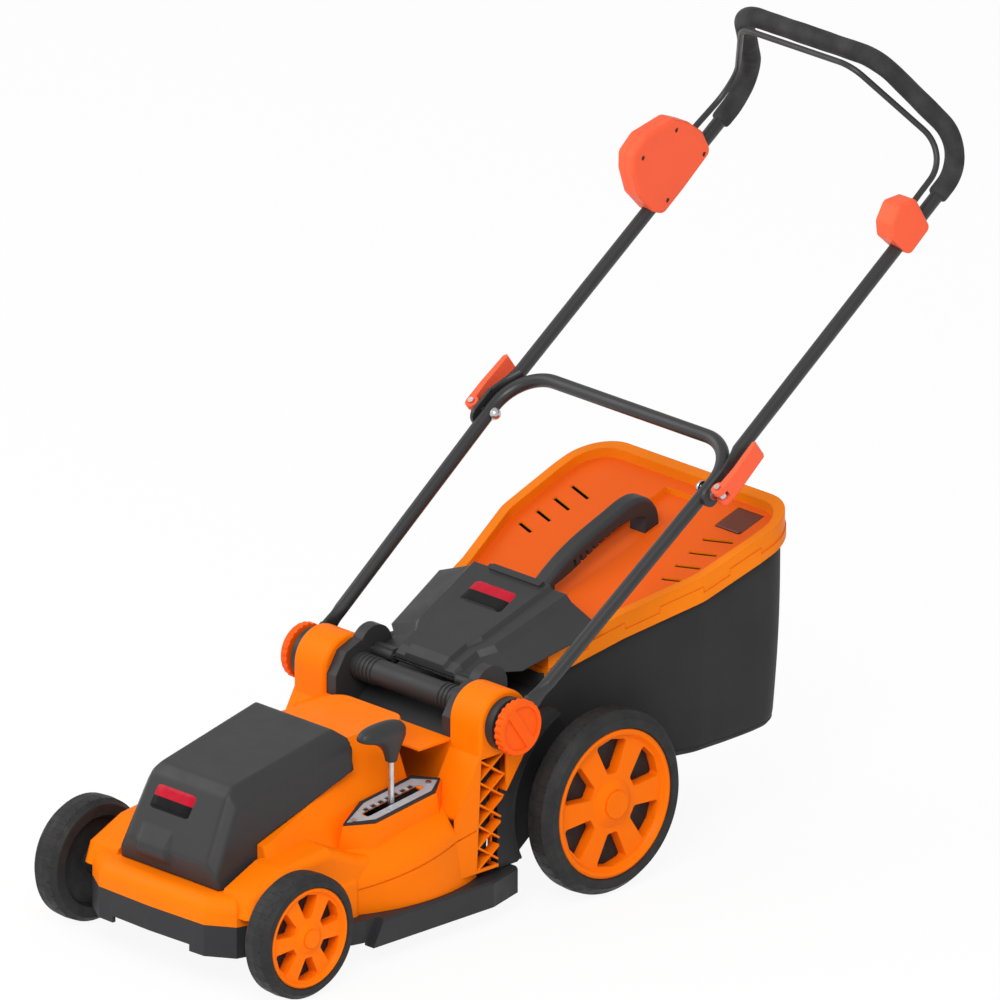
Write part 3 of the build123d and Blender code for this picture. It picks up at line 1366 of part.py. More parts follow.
PANEL_DROP = 13.0
RIM_W = 15.0
VENT_COUNT = 4
VENT_X = 135.0
VENT_Y = 550.0
VENT_PITCH = 29.6
VENT_LEN = 33.0
VENT_W = 6.0
VENT_SLANT = 15.5
FILL_X = 119.0
FILL_Y = 684.0
FILL_BEAD_R = 2.0
CHANNEL_HALF_W = 31.0
CHANNEL_DROP = 8.0
CHANNEL_REAR_Y = 700.0
SKIRT_LIP = 1.5
SKIRT_LIP_TOP = 21.0
SKIRT_TABS = ((400, 452), (498, 556), (600, 652))
FILL_W = 46.0
FILL_L = 42.0


def fill_hole(grow):
    """Upright prism through the lid's panel at the fill indicator."""
    return block(FILL_X - FILL_W / 2 - grow, FILL_X + FILL_W / 2 + grow,
                 FILL_Y - FILL_L / 2 - grow, FILL_Y + FILL_L / 2 + grow, 200, 600)


def lid_vents():
    """Slanted slots in the left half of the panel, longer towards the rear."""
    slots = []
    for step in range(VENT_COUNT):
        spot = Pos(VENT_X - 3 * step, VENT_Y + VENT_PITCH * step, 400) * Rot(0, 0, VENT_SLANT)
        slots.append(spot * Box(VENT_LEN + 4 * step, VENT_W, 400))
    return slots


def lid_channel(inset):
    """Sunken channel under the grab handle."""
    half = CHANNEL_HALF_W - inset
    plan = block(-half, half, LID_FRONT_Y + RIM_W + inset, CHANNEL_REAR_Y - inset, 200, 600)
    low = -PANEL_DROP - CHANNEL_DROP - LID_WALL + inset
    return plan & lid_slab(low, -PANEL_DROP - LID_WALL + (60 if inset else 0))


def skirt_lip():
    """Raised band round the lower half of the lid's side, with clip tabs along both flanks."""
    band = lid_prism(-SKIRT_LIP, -LID_DEPTH, -SKIRT_LIP_TOP) - lid_prism(LID_WALL / 2, -LID_DEPTH - 5, 5)
    tall = lid_prism(-SKIRT_LIP, -LID_DEPTH, -SKIRT_LIP_TOP + 8)
    tall -= lid_prism(LID_WALL / 2, -LID_DEPTH - 5, 5)
    for y0, y1 in SKIRT_TABS:
        band += tall & block(-300, 300, y0, y1, 200, 600)
    return band


def bag_lid():
    """Lid with a raised rim, clip skirt, handle channel, vent slots and a fill-indicator window."""
    lid = lid_prism(0, -LID_DEPTH, 0)
    lid -= lid_prism(RIM_W, -PANEL_DROP, 20)
    lid -= lid_prism(LID_WALL, -LID_DEPTH - 30, -PANEL_DROP - LID_WALL)
    ring = lid_prism(LID_WALL, -LID_DEPTH, -LID_WALL) - lid_prism(RIM_W - LID_WALL, -LID_DEPTH - 5, 5)
    lid -= ring
    lid += skirt_lip()
    lid += lid_channel(0)
    lid -= lid_channel(LID_WALL)
    for slot in lid_vents():
        lid -= both_sides(slot)
    return lid - fill_hole(MOVE_GAP) - fill_bead(MOVE_GAP)


def fill_bead(grow):
    """Hinge bead along the front edge of the fill flap, or its seat."""
    y = FILL_Y - FILL_L / 2
    half = FILL_W / 2 - 2 + grow
    return rod_x(FILL_BEAD_R + grow, FILL_X - half, FILL_X + half, y, lid_z(y) - PANEL_DROP)


def fill_flap():
    """Light flap on a hinge bead that lifts while the box takes air and drops when it is full."""
    return (fill_hole(0) & lid_slab(-PANEL_DROP - LID_WALL, -PANEL_DROP)) + fill_bead(0)


HANDLE_FRONT_Y = 436.0
HANDLE_REAR_Y = 640.0
HANDLE_RISE = 33.0
HANDLE_T = 20.0
HANDLE_HALF_W = 14.0
HANDLE_RIBS = 8


def bag_handle():
    """Arched grab handle along the middle of the lid, ribbed underneath for the fingers."""
    y0 = HANDLE_FRONT_Y
    y1 = HANDLE_REAR_Y
    base = -PANEL_DROP - CHANNEL_DROP

    def at(y, rise):
        return (y, lid_z(y) + rise)

    crest = [at(y0 + 60, 26), at(y1 - 70, HANDLE_RISE), at(y1 - 24, HANDLE_RISE - 4)]
    hollow = [at(y1 - 34, HANDLE_RISE - HANDLE_T - 5), at(y1 - 74, HANDLE_RISE - HANDLE_T)]
    top = Spline(at(y0, 4), *crest, at(y1, 4))
    under = Spline(at(y1 - HANDLE_T, 0), *hollow, at(y0 + 66, 24 - HANDLE_T), at(y0 + 22, 0))
    rear_foot = Polyline(at(y1, 4), at(y1 + 2, base), at(y1 - HANDLE_T - 2, base), at(y1 - HANDLE_T, 0))
    front_foot = Polyline(at(y0 + 22, 0), at(y0 + 20, base), at(y0 - 2, base), at(y0, 4))
    handle = side_plate(make_face([top, rear_foot, under, front_foot]), -HANDLE_HALF_W, HANDLE_HALF_W)
    crown = handle.edges().filter_by(lambda e: abs(e.center().X) > HANDLE_HALF_W - 1 and e.length > 150)
    handle = fillet(crown.sort_by(Axis.Z)[-2:], 7)
    for rib in range(HANDLE_RIBS):
        y = y0 + 58 + 11 * rib
        notch = Pos(0, y, lid_z(y) + HANDLE_RISE - HANDLE_T - 4) * Rot(15, 0, 0) * Box(60, 4, 10)
        handle -= both_sides(notch & block(HANDLE_HALF_W - 3, HANDLE_HALF_W + 3, y0, y1, 0, 700))
    return handle


def bag_form(inset):
    """Outer or inner form of the bag."""
    prism = plan_plate(box_plan(BAG_INSET + inset, CHUTE_END_Y + MOVE_GAP + inset), BAG_LOW_Z + inset, 650)
    prism &= lid_slab(-600, -LID_DEPTH + 2 * inset)
    below = face_of([
        (300, 0),
        (300, BAG_FRONT_LOW_Z),
        (CHUTE_END_Y, BAG_FRONT_LOW_Z + inset),
        (440, BAG_LOW_Z + inset),
        (LID_REAR_Y, BAG_LOW_Z + 13 + inset),
        (LID_REAR_Y, 0),
    ])
    return prism - side_plate(below, -300, 300)


def grass_bag():
    """Bag body with its mouth towards the discharge chute."""
    bag = bag_form(0) - bag_form(BAG_WALL)
    y0 = CHUTE_END_Y - 5
    return bag - block(-MOUTH_HALF_W, MOUTH_HALF_W, y0, y0 + 17, MOUTH_LOW_Z, MOUTH_TOP_Z)


def all_nodes():
    """Every named piece of the mower."""
    nodes = {
        "deck_chassis": deck_chassis(),
        "deck_cover": deck_cover(),
        "axle_bushes": axle_bushes(),
        "motor_hood": motor_hood(),
        "hood_hinge_pin": hood_hinge_pin(),
        "motor_can": motor_can(),
        "motor_shaft": motor_shaft(),
        "blade_holder": blade_holder(),
        "blade": blade(),
        "blade_bolt": blade_bolt(),
        "battery_dock": battery_dock(),
        "battery_pack": battery_pack(),
        "gate_plate": gate_plate(),
        "gate_liner": gate_liner(),
        "gate_screws": gate_screws(),
        "height_lever": height_lever(),
        "lever_grip": lever_grip(),
        "front_link": link_rod(FRONT_SHAFT_Y, FRONT_SHAFT_Z + LINK_ARM, LINK_X),
        "rear_link": link_rod(REAR_SHAFT_Y, REAR_SHAFT_Z - LINK_ARM, LINK_X + LINK_T + MOVE_GAP),
        "rear_bridge": rear_bridge(),
        "carry_bar": carry_bar(),
        "flap_hinge_rod": flap_hinge_rod(),
        "rear_flap": rear_flap(),
        "handle_bosses": handle_bosses(),
        "pivot_bolts": pivot_bolts(),
        "lower_handle_tube": lower_handle_tube(),
        "clamp_knob_left": clamp_knob(1),
        "clamp_knob_right": clamp_knob(-1),
        "upper_handle_tube": upper_handle_tube(),
        "foam_grip": foam_grip(),
        "clamp_bolts": clamp_bolts(),
        "cam_lever_left": cam_lever(1),
        "cam_lever_right": cam_lever(-1),
        "switch_box_inner": switch_box_half(True),
        "switch_box_outer": switch_box_half(False),
        "switch_box_screws": switch_box_screws(),
        "switch_unit": switch_unit(),
        "lock_button": lock_button(),
        "bail_pivot_block": bail_pivot_block(),
        "bail_bar": bail_bar(),
        "bag_lid": bag_lid(),
        "bag_handle": bag_handle(),
        "fill_flap": fill_flap(),
        "grass_bag": grass_bag(),
    }
    nodes["front_axle"] = cranked_axle(FRONT_SHAFT_Y, FRONT_SHAFT_Z, FRONT_AXLE_Y, FRONT_WHEEL_R, 1)
    nodes["rear_axle"] = cranked_axle(REAR_SHAFT_Y, REAR_SHAFT_Z, REAR_AXLE_Y, REAR_WHEEL_R, -1)
    nodes.update(wheel_set())
    return nodes


if __name__ == "__main__":
    os.makedirs("parts", exist_ok=True)
    for name, shape in all_nodes().items():
        export_step(shape, f"parts/{name}.step")
        print(name, len(shape.solids()), round(shape.volume), shape.is_valid)
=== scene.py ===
import math
import bpy
import numpy as np
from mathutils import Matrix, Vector


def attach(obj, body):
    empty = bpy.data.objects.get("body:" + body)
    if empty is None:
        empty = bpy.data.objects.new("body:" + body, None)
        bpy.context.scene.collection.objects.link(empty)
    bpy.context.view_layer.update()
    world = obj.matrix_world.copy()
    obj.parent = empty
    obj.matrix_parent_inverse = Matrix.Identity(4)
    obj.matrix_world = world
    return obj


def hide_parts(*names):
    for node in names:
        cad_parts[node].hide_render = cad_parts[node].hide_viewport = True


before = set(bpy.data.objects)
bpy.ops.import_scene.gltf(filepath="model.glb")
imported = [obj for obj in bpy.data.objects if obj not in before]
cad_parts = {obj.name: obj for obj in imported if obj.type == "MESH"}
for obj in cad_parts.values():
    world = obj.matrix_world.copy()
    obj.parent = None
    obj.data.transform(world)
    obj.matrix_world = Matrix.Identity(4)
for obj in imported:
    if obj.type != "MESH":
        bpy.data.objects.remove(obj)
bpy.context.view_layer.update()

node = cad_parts


# Deck chassis: one black moulding of glass-filled plastic that makes the front band, blade
# chamber, chute, bumpers and rear wheel arches; everything else is screwed to it.
def new_finish(name, colour, roughness):
    """Material with its shader set to one colour and roughness, and its object coordinates."""
    finish = bpy.data.materials.new(name)
    finish.use_nodes = True
    tree = finish.node_tree
    shader = tree.nodes["Principled BSDF"]
    shader.inputs["Base Color"].default_value = (*colour, 1)
    shader.inputs["Roughness"].default_value = roughness
    place = tree.nodes.new("ShaderNodeTexCoord").outputs["Object"]
    return finish, tree, shader, place


def cloud(tree, place, scale, detail=3.0):
    """Soft random pattern, scale in cycles per metre."""
    pattern = tree.nodes.new("ShaderNodeTexNoise")
    pattern.inputs["Scale"].default_value = scale
    pattern.inputs["Detail"].default_value = detail
    tree.links.new(place, pattern.inputs["Vector"])
    return pattern.outputs["Fac"]


def spread(tree, value, low, high, to_low, to_high):
    """Value stretched from low..high to to_low..to_high."""
    stretch = tree.nodes.new("ShaderNodeMapRange")
    sockets = ("From Min", "From Max", "To Min", "To Max")
    for socket, number in zip(sockets, (low, high, to_low, to_high)):
        stretch.inputs[socket].default_value = number
    tree.links.new(value, stretch.inputs["Value"])
    return stretch.outputs["Result"]


def reckon(tree, operation, first, second=None):
    """One sum of the node tree; first and second are outputs or plain numbers."""
    sum_node = tree.nodes.new("ShaderNodeMath")
    sum_node.operation = operation
    for socket, value in zip(sum_node.inputs, (first, second)):
        if isinstance(value, (int, float)):
            socket.default_value = value
        elif value is not None:
            tree.links.new(value, socket)
    return sum_node.outputs["Value"]


def tint(tree, value, first, second):
    """Colour between two tones by value; a tone is three numbers or a colour output."""
    blend = tree.nodes.new("ShaderNodeMix")
    blend.data_type = "RGBA"
    for socket, tone in ((blend.inputs[6], first), (blend.inputs[7], second)):
        if isinstance(tone, bpy.types.NodeSocket):
            tree.links.new(tone, socket)
        else:
            socket.default_value = (*tone, 1)
    tree.links.new(value, blend.inputs["Factor"])
    return blend.outputs[2]


def relief(tree, shader, height, strength, depth, under=None):
    """Fine relief on the shader's normal, depth in metres."""
    bump = tree.nodes.new("ShaderNodeBump")
    bump.inputs["Strength"].default_value = strength
    bump.inputs["Distance"].default_value = depth
    tree.links.new(height, bump.inputs["Height"])
    if under is not None:
        tree.links.new(under, bump.inputs["Normal"])
    tree.links.new(bump.outputs["Normal"], shader.inputs["Normal"])


def soft_edges(tree, radius):
    """Normal rounded over sharp edges, and a mask that rises to 1 on them: one minus the dot
    product of rounded and flat normal."""
    rounded = tree.nodes.new("ShaderNodeBevel")
    rounded.samples = 4
    rounded.inputs["Radius"].default_value = radius
    flat = tree.nodes.new("ShaderNodeNewGeometry")
    dot = tree.nodes.new("ShaderNodeVectorMath")
    dot.operation = "DOT_PRODUCT"
    tree.links.new(rounded.outputs["Normal"], dot.inputs[0])
    tree.links.new(flat.outputs["Normal"], dot.inputs[1])
    return rounded.outputs["Normal"], spread(tree, dot.outputs["Value"], 0.995, 0.8, 0, 1)


def moulded_plastic(name, colour, roughness, grain, depth, mottle=0.08, gloss=0.35, edge=0.0012,
                    second=None):
    """Injection-moulded plastic: slow tone drift, rubbed and matt patches, worn edges and fine
    spark-eroded grain. second gives another tone and the mask that calls for it."""
    finish, tree, shader, place = new_finish(name, colour, roughness)
    shader.inputs["Specular IOR Level"].default_value = gloss
    rounded, edges = soft_edges(tree, edge)
    drift = spread(tree, cloud(tree, place, 7), 0.3, 0.7, 0, 1)
    darker, lighter = [c * (1 - mottle) for c in colour], [min(1.0, c * (1 + mottle)) for c in colour]
    tone = tint(tree, drift, darker, lighter)
    if second is not None:
        tone = tint(tree, second[1](tree, place), tone, second[0])
    scuffs = spread(tree, cloud(tree, place, 240, 4), 0.45, 0.75, 0, 0.35)
    worn = [min(1.0, c * 1.25 + 0.015) for c in colour]
    rubbed = tint(tree, reckon(tree, "MULTIPLY", edges, scuffs), tone, worn)
    tree.links.new(rubbed, shader.inputs["Base Color"])
    rub = spread(tree, cloud(tree, place, 31, 5), 0.3, 0.72, roughness - 0.06, roughness + 0.08)
    tree.links.new(rub, shader.inputs["Roughness"])
    relief(tree, shader, cloud(tree, place, grain, 2), 0.3, depth, rounded)
    return finish


def dress(names, finish):
    """Give CAD pieces a finish."""
    for name in names:
        for place in node[name].material_slots:
            place.material = finish


chassis_black = moulded_plastic("chassis_black", (0.026, 0.026, 0.028), 0.5, 900, 0.0002, 0.08, 0.25)
dress(["deck_chassis", "axle_bushes", "battery_dock"], chassis_black)

# Deck cover: the big orange moulding of coloured plastic, satin from the tool. It is clipped over
# the chassis and screwed to it from below.
cover_orange = moulded_plastic("cover_orange", (0.95, 0.185, 0.001), 0.42, 1500, 0.00005, 0.04, 0.06,
                               0.0015)
dress(["deck_cover"], cover_orange)

# Motor, battery, blade and linkage under the cover: cast can on its plate, black pack in a dock,
# painted steel blade bolted to its holder, and plated steel rods, pins and screws.
motor_casting = moulded_plastic("motor_casting", (0.33, 0.33, 0.35), 0.45, 500, 0.0004)
motor_casting.node_tree.nodes["Principled BSDF"].inputs["Metallic"].default_value = 0.9
dress(["motor_can"], motor_casting)
pack_black = moulded_plastic("pack_black", (0.016, 0.016, 0.018), 0.45, 1100, 0.0002)
dress(["battery_pack", "blade_holder"], pack_black)


def bright_steel(name, colour, roughness, lay):
    """Drawn or plated steel: fine lines across one direction and cloudy plating."""
    finish, tree, shader, place = new_finish(name, colour, roughness)
    shader.inputs["Metallic"].default_value = 1.0
    along = tree.nodes.new("ShaderNodeMapping")
    along.inputs["Scale"].default_value = lay
    tree.links.new(place, along.inputs["Vector"])
    lines = cloud(tree, along.outputs["Vector"], 1.0, 2)
    dull = [c * 0.8 for c in colour]
    tree.links.new(tint(tree, spread(tree, cloud(tree, place, 60), 0.3, 0.7, 0, 1), dull, colour),
                   shader.inputs["Base Color"])
    tree.links.new(spread(tree, lines, 0.3, 0.7, roughness - 0.1, roughness + 0.12),
                   shader.inputs["Roughness"])
    relief(tree, shader, lines, 0.25, 0.0001)
    return finish


plated_steel = bright_steel("plated_steel", (0.66, 0.67, 0.69), 0.28, (400, 60, 2000))
dress(["hood_hinge_pin", "height_lever", "front_link", "rear_link", "flap_hinge_rod", "pivot_bolts",
       "clamp_bolts", "motor_shaft", "blade_bolt", "front_axle", "rear_axle", "gate_screws"], plated_steel)
gate_steel = bright_steel("gate_steel", (0.5, 0.54, 0.58), 0.45, (60, 900, 900))
gate_steel.node_tree.nodes["Principled BSDF"].inputs["Metallic"].default_value = 0.35
dress(["gate_plate"], gate_steel)
blade_paint = moulded_plastic("blade_paint", (0.03, 0.03, 0.033), 0.4, 700, 0.0002)
dress(["blade"], blade_paint)

# Rear flap, bridge, carry bar and box handle: charcoal mouldings with a fine even grain; the flap
# swings on a steel rod, the others are screwed to deck and lid.
charcoal = moulded_plastic("charcoal", (0.033, 0.033, 0.034), 0.42, 1100, 0.00012, 0.06, 0.24, 0.0016)
dress(["rear_flap", "rear_bridge", "carry_bar", "handle_bosses", "bag_handle", "switch_unit"], charcoal)
dress(["gate_liner"], pack_black)


# Motor hood: charcoal moulding with a sloping flat top, a steep front with a finger tab, and a
# bevelled strip down each flank; two lugs behind hold it on the hinge pin.
def grid_faces(rows, columns, around=False):
    """Quads of a grid of points held row by row; around joins the last column to the first."""
    wide = columns if around else columns - 1
    row, column = np.meshgrid(np.arange(rows - 1), np.arange(wide), indexing="ij")
    first = row * columns + column
    second = row * columns + (column + 1) % columns
    return np.stack([first, first + columns, second + columns, second], -1).reshape(-1, 4)


def make_piece(name, points, faces, finish, uv=None):
    """Mesh object at the origin: points in metres, faces as lists of point numbers, its finish, and
    a UV map given as one pair for every face corner."""
    mesh = bpy.data.meshes.new(name)
    corners = [list(map(int, face)) for face in faces]
    mesh.from_pydata(np.asarray(points, float).reshape(-1, 3).tolist(), [], corners)
    mesh.shade_smooth()
    mesh.materials.append(finish)
    if uv is not None:
        mesh.uv_layers.new(name="lay").data.foreach_set("uv", np.asarray(uv, float).ravel())
    piece = bpy.data.objects.new(name, mesh)
    bpy.context.scene.collection.objects.link(piece)
    return piece


def unit(direction):
    """Direction of length one."""
    return np.asarray(direction, float) / np.linalg.norm(direction)


def hood_rest(x, y):
    """Height in millimetres on which the hood's lower edge lies: low in front, a step, then a ramp to
    the rear, and high at the hinge between the lugs."""
    ledge = np.interp(y, [-300, -142, -138, 28], [122.9, 122.9, 168.4, 226.4])
    return np.where((y > 21) & (np.abs(x) < 66), 259.0, ledge)


hood_top, hood_front = unit((0, -0.203, 1)), unit((0, -0.89, 0.455))
hood_flank, hood_chin = unit((1, -0.0606, 0.107)), unit((0, -0.978, -0.2075))
strip_high, strip_low = unit((0.807, -0.14, 0.574)), unit(hood_front + hood_flank)
hood_planes = [(hood_top, 271.6), (hood_front, 260.2), (unit(hood_top + hood_front), 291.0),
               (hood_chin, 176.2), (unit((0, 0.625, 0.781)), 225.3), (np.array([0, 1, 0]), 27.9)]
for tilt, reach in ((strip_high, 215.4), (strip_low, 244.1), (hood_flank, 114.1)):
    hood_planes += [(tilt, reach), (tilt * (-1, 1, 1), reach)]
hood_tilts = np.array([plane[0] for plane in hood_planes])
hood_reach = np.array([plane[1] for plane in hood_planes])
hood_core = np.array([0, -85, 150])
edge_norm = 170


def hood_skin(turn, rise):
    """Point of the hood seen from its core at a turn round Z and a rise: the body inside all its
    planes, with edges rounded by taking the edge norm of the plane shares in place of their largest."""
    look = np.stack([np.cos(rise) * np.cos(turn), np.cos(rise) * np.sin(turn), np.sin(rise) + 0 * turn], -1)
    shares = np.maximum(look @ hood_tilts.T / (hood_reach - hood_tilts @ hood_core), 0)
    largest = shares.max(-1, keepdims=True)
    gauge = largest * ((shares / largest) ** edge_norm).sum(-1, keepdims=True) ** (1 / edge_norm)
    return hood_core + look / gauge


hood_rows, hood_columns = 110, 320
hood_turns = np.linspace(0, 2 * np.pi, hood_columns, endpoint=False)
probe = np.radians(np.linspace(-32, 85, 500))[:, None]
tried = hood_skin(hood_turns[None, :] + 0 * probe, probe + 0 * hood_turns[None, :])
above = tried[..., 2] > hood_rest(tried[..., 0], tried[..., 1])
lowest = probe[np.argmax(above, 0), 0]
climb = np.linspace(lowest.min(), math.radians(89), hood_rows)[:, None]
hood_grid = hood_skin(hood_turns[None, :] + 0 * climb, np.maximum(climb, lowest[None, :]))
beside = np.clip((27 - np.abs(hood_grid[..., 0] + 25)) / 4 + 0.5, 0, 1)
tab_height = np.clip((178 - hood_grid[..., 2]) / 30, 0, 1) * np.clip((hood_grid[..., 2] - 134) / 8, 0, 1)
in_tab = tab_height * (hood_grid[..., 1] < -150)
hood_grid[..., 1] -= 5.5 * beside * in_tab
arc = np.radians(np.linspace(180, 360, 13))
lug_eye = np.column_stack([19 + 6.9 * np.cos(arc), 252 + 6.9 * np.sin(arc)])
lug_side = np.concatenate([lug_eye, [(25.9, 259), (12.1, 266)]])
hood_points = [hood_grid.reshape(-1, 3), [hood_skin(np.array(0.0), np.array(np.pi / 2))]]
hood_quads = grid_faces(hood_rows, hood_columns, True)[:, ::-1]
edge_here = np.minimum(lowest, np.roll(lowest, -1))
kept = np.repeat(climb[1:, 0], hood_columns) > np.tile(edge_here, hood_rows - 1)
hood_faces = hood_quads[kept].tolist()
last_row, peak = (hood_rows - 1) * hood_columns, hood_rows * hood_columns
hood_faces += [[last_row + k, last_row + (k + 1) % hood_columns, peak] for k in range(hood_columns)]
for inner, outer in ((40, 52), (-52, -40)):
    first = sum(map(len, hood_points))
    count = len(lug_side)
    hood_points += [np.column_stack([np.full(count, x), lug_side]) for x in (inner, outer)]
    beyond = [(k + 1) % count for k in range(count)]
    hood_faces += [[first + k, first + k2, first + count + k2, first + count + k]
                   for k, k2 in enumerate(beyond)]
    hood_faces += [list(range(first, first + count))[::-1], list(range(first + count, first + 2 * count))]
hood = make_piece("hood_shell", np.concatenate(hood_points) / 1000, hood_faces, charcoal)
hood_wall = hood.modifiers.new("hood_wall", "SOLIDIFY")
hood_wall.thickness = 0.0025
hood_wall.offset = -1
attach(hood, "hood")
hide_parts("motor_hood")


# Lever grip: charcoal T-shaped moulding pushed on the steel rod, a domed paddle fore and aft on a
# tapering neck. Each row gives height, place along Y and half-sizes across and along.
grip_rows = np.array([(238, 61, 6.5, 6.5), (239, 61, 7.2, 7.2), (250, 61.4, 8.2, 9.5),
                      (261, 61, 10.2, 16.5), (269, 56.5, 12.2, 26), (273.5, 48, 13.6, 35),
                      (277.5, 43.6, 14.9, 39.2), (281, 43.6, 14.9, 39.4), (286, 43.6, 13.4, 37),
                      (290.5, 44, 10.4, 31), (293.6, 45, 6, 20), (294.9, 46, 2, 7)])
rod_x, grip_sides, squareness = 125.5, 40, 2.6
bow = np.linspace(0, 2 * np.pi, grip_sides, endpoint=False)
swell = (np.abs(np.cos(bow)) ** squareness + np.abs(np.sin(bow)) ** squareness) ** (-1 / squareness)
paddle_points = np.stack([rod_x + grip_rows[:, 2:3] * swell * np.cos(bow),
                          grip_rows[:, 1:2] + grip_rows[:, 3:4] * swell * np.sin(bow),
                          grip_rows[:, :1] + 0 * bow], -1)
paddle_faces = grid_faces(len(grip_rows), grip_sides, True)[:, ::-1].tolist()
top_ring = grip_sides * (len(grip_rows) - 1)
paddle_faces += [list(range(grip_sides))[::-1], list(range(top_ring, top_ring + grip_sides))]
paddle = make_piece("lever_paddle", paddle_points / 1000, paddle_faces, charcoal)
paddle_soft = paddle.modifiers.new("paddle_soft", "SUBSURF")
paddle_soft.levels = paddle_soft.render_levels = 2
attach(paddle, "height_lever")
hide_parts("lever_grip")

# Painted shade in the gate's notches: a strip of black laid under the notches of the lever's gate, which
# stands in for the shade inside them, tilted with the console by its pitch and roll.
pitch, roll = math.radians(7.5), math.radians(8)
notch_shade_x, notch_shade_y = np.meshgrid(np.linspace(-11.6, -6.2, 4), np.linspace(-44, 50, 48))
notch_shade_z = -1.75 - 0.15 * np.cos(notch_shade_y / 2)
rolled_x = notch_shade_x * math.cos(roll) + notch_shade_z * math.sin(roll)
rolled_z = -notch_shade_x * math.sin(roll) + notch_shade_z * math.cos(roll)
notch_shade_points = np.stack([123.5 + rolled_x, 61 + notch_shade_y * math.cos(pitch) - rolled_z * math.sin(pitch),
                        184 + notch_shade_y * math.sin(pitch) + rolled_z * math.cos(pitch)], -1)
# The black strip is painted shade, standing in for the shade inside the notches.
notch_shade = make_piece("gate_seal", notch_shade_points / 1000, grid_faces(48, 4)[:, ::-1], pack_black)
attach(notch_shade, "mower_deck")


# Badge plates: thin pressed plates glued on hood and flap, printed black with a red band and
# otherwise bare.
def corner_uv(across, down):
    """UV pairs of a grid's quads, from the value of each column and of each row."""
    high, left = np.meshgrid(down[:-1], across[:-1], indexing="ij")
    low, right = np.meshgrid(down[1:], across[1:], indexing="ij")
    return np.stack([np.stack([left, high], -1), np.stack([left, low], -1),
                     np.stack([right, low], -1), np.stack([right, high], -1)], 2).reshape(-1, 2)


badge_print, badge_tree, badge_shader, badge_place = new_finish("badge_print", (0.006, 0.006, 0.007), 0.22)
badge_shader.inputs["Specular IOR Level"].default_value = 0.12
badge_uv = badge_tree.nodes.new("ShaderNodeUVMap")
badge_uv.uv_map = "lay"
badge_split = badge_tree.nodes.new("ShaderNodeSeparateXYZ")
badge_tree.links.new(badge_uv.outputs["UV"], badge_split.inputs["Vector"])
red_band = spread(badge_tree, badge_split.outputs["Y"], 0.478, 0.47, 0, 1)
uneven = spread(badge_tree, cloud(badge_tree, badge_place, 90), 0.3, 0.7, 0, 1)
ink = tint(badge_tree, uneven, (0.42, 0.004, 0.018), (0.5, 0.006, 0.025))
badge_tree.links.new(tint(badge_tree, red_band, (0.006, 0.006, 0.007), ink),
                     badge_shader.inputs["Base Color"])
smears = spread(badge_tree, cloud(badge_tree, badge_place, 160, 5), 0.3, 0.7, 0.16, 0.3)
badge_tree.links.new(smears, badge_shader.inputs["Roughness"])
relief(badge_tree, badge_shader, cloud(badge_tree, badge_place, 800), 0.15, 0.00005)


def badge_plate(name, corners, thick):
    """Pillowed plate on four corners: a bilinear patch, rounded to a squircle at its corners, raised
    by thickness times (1 - |u|^10)(1 - |v|^10)."""
    columns, rows, corner_norm = 33, 25, 14
    u, v = np.meshgrid(np.linspace(-1, 1, columns), np.linspace(-1, 1, rows))
    squircle = (np.abs(u) ** corner_norm + np.abs(v) ** corner_norm) ** (1 / corner_norm)
    reach = np.maximum(np.abs(u), np.abs(v)) / np.maximum(squircle, 1e-6)
    a, b = (1 + u * reach)[..., None] / 2, (1 + v * reach)[..., None] / 2
    top_left, top_right, low_right, low_left = np.asarray(corners, float) / 1000
    patch = (1 - a) * (1 - b) * top_left + a * (1 - b) * top_right + a * b * low_right + (1 - a) * b * low_left
    out = np.cross(top_right - top_left, top_left - low_left)
    out /= np.linalg.norm(out)
    lift = thick * (1 - np.abs(u) ** 10) * (1 - np.abs(v) ** 10) - 0.0009
    points = patch + lift[..., None] * out
    lay = corner_uv(np.linspace(0, 1, columns), np.linspace(0, 1, rows))
    return make_piece(name, points, grid_faces(rows, columns), badge_print, lay)


hood_badge = badge_plate("hood_badge", [(-50.8, -177.4, 224.8), (22.2, -177.4, 224.8),
                                        (19.6, -192.7, 194.8), (-55.0, -192.7, 194.8)], 0.0022)
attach(hood_badge, "hood")
flap_badge = badge_plate("flap_badge", [(-48.0, 380.2, 355.6), (29.5, 380.2, 355.6),
                                        (34.0, 341.0, 341.0), (-43.5, 341.0, 341.0)], 0.0022)
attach(flap_badge, "rear_flap")


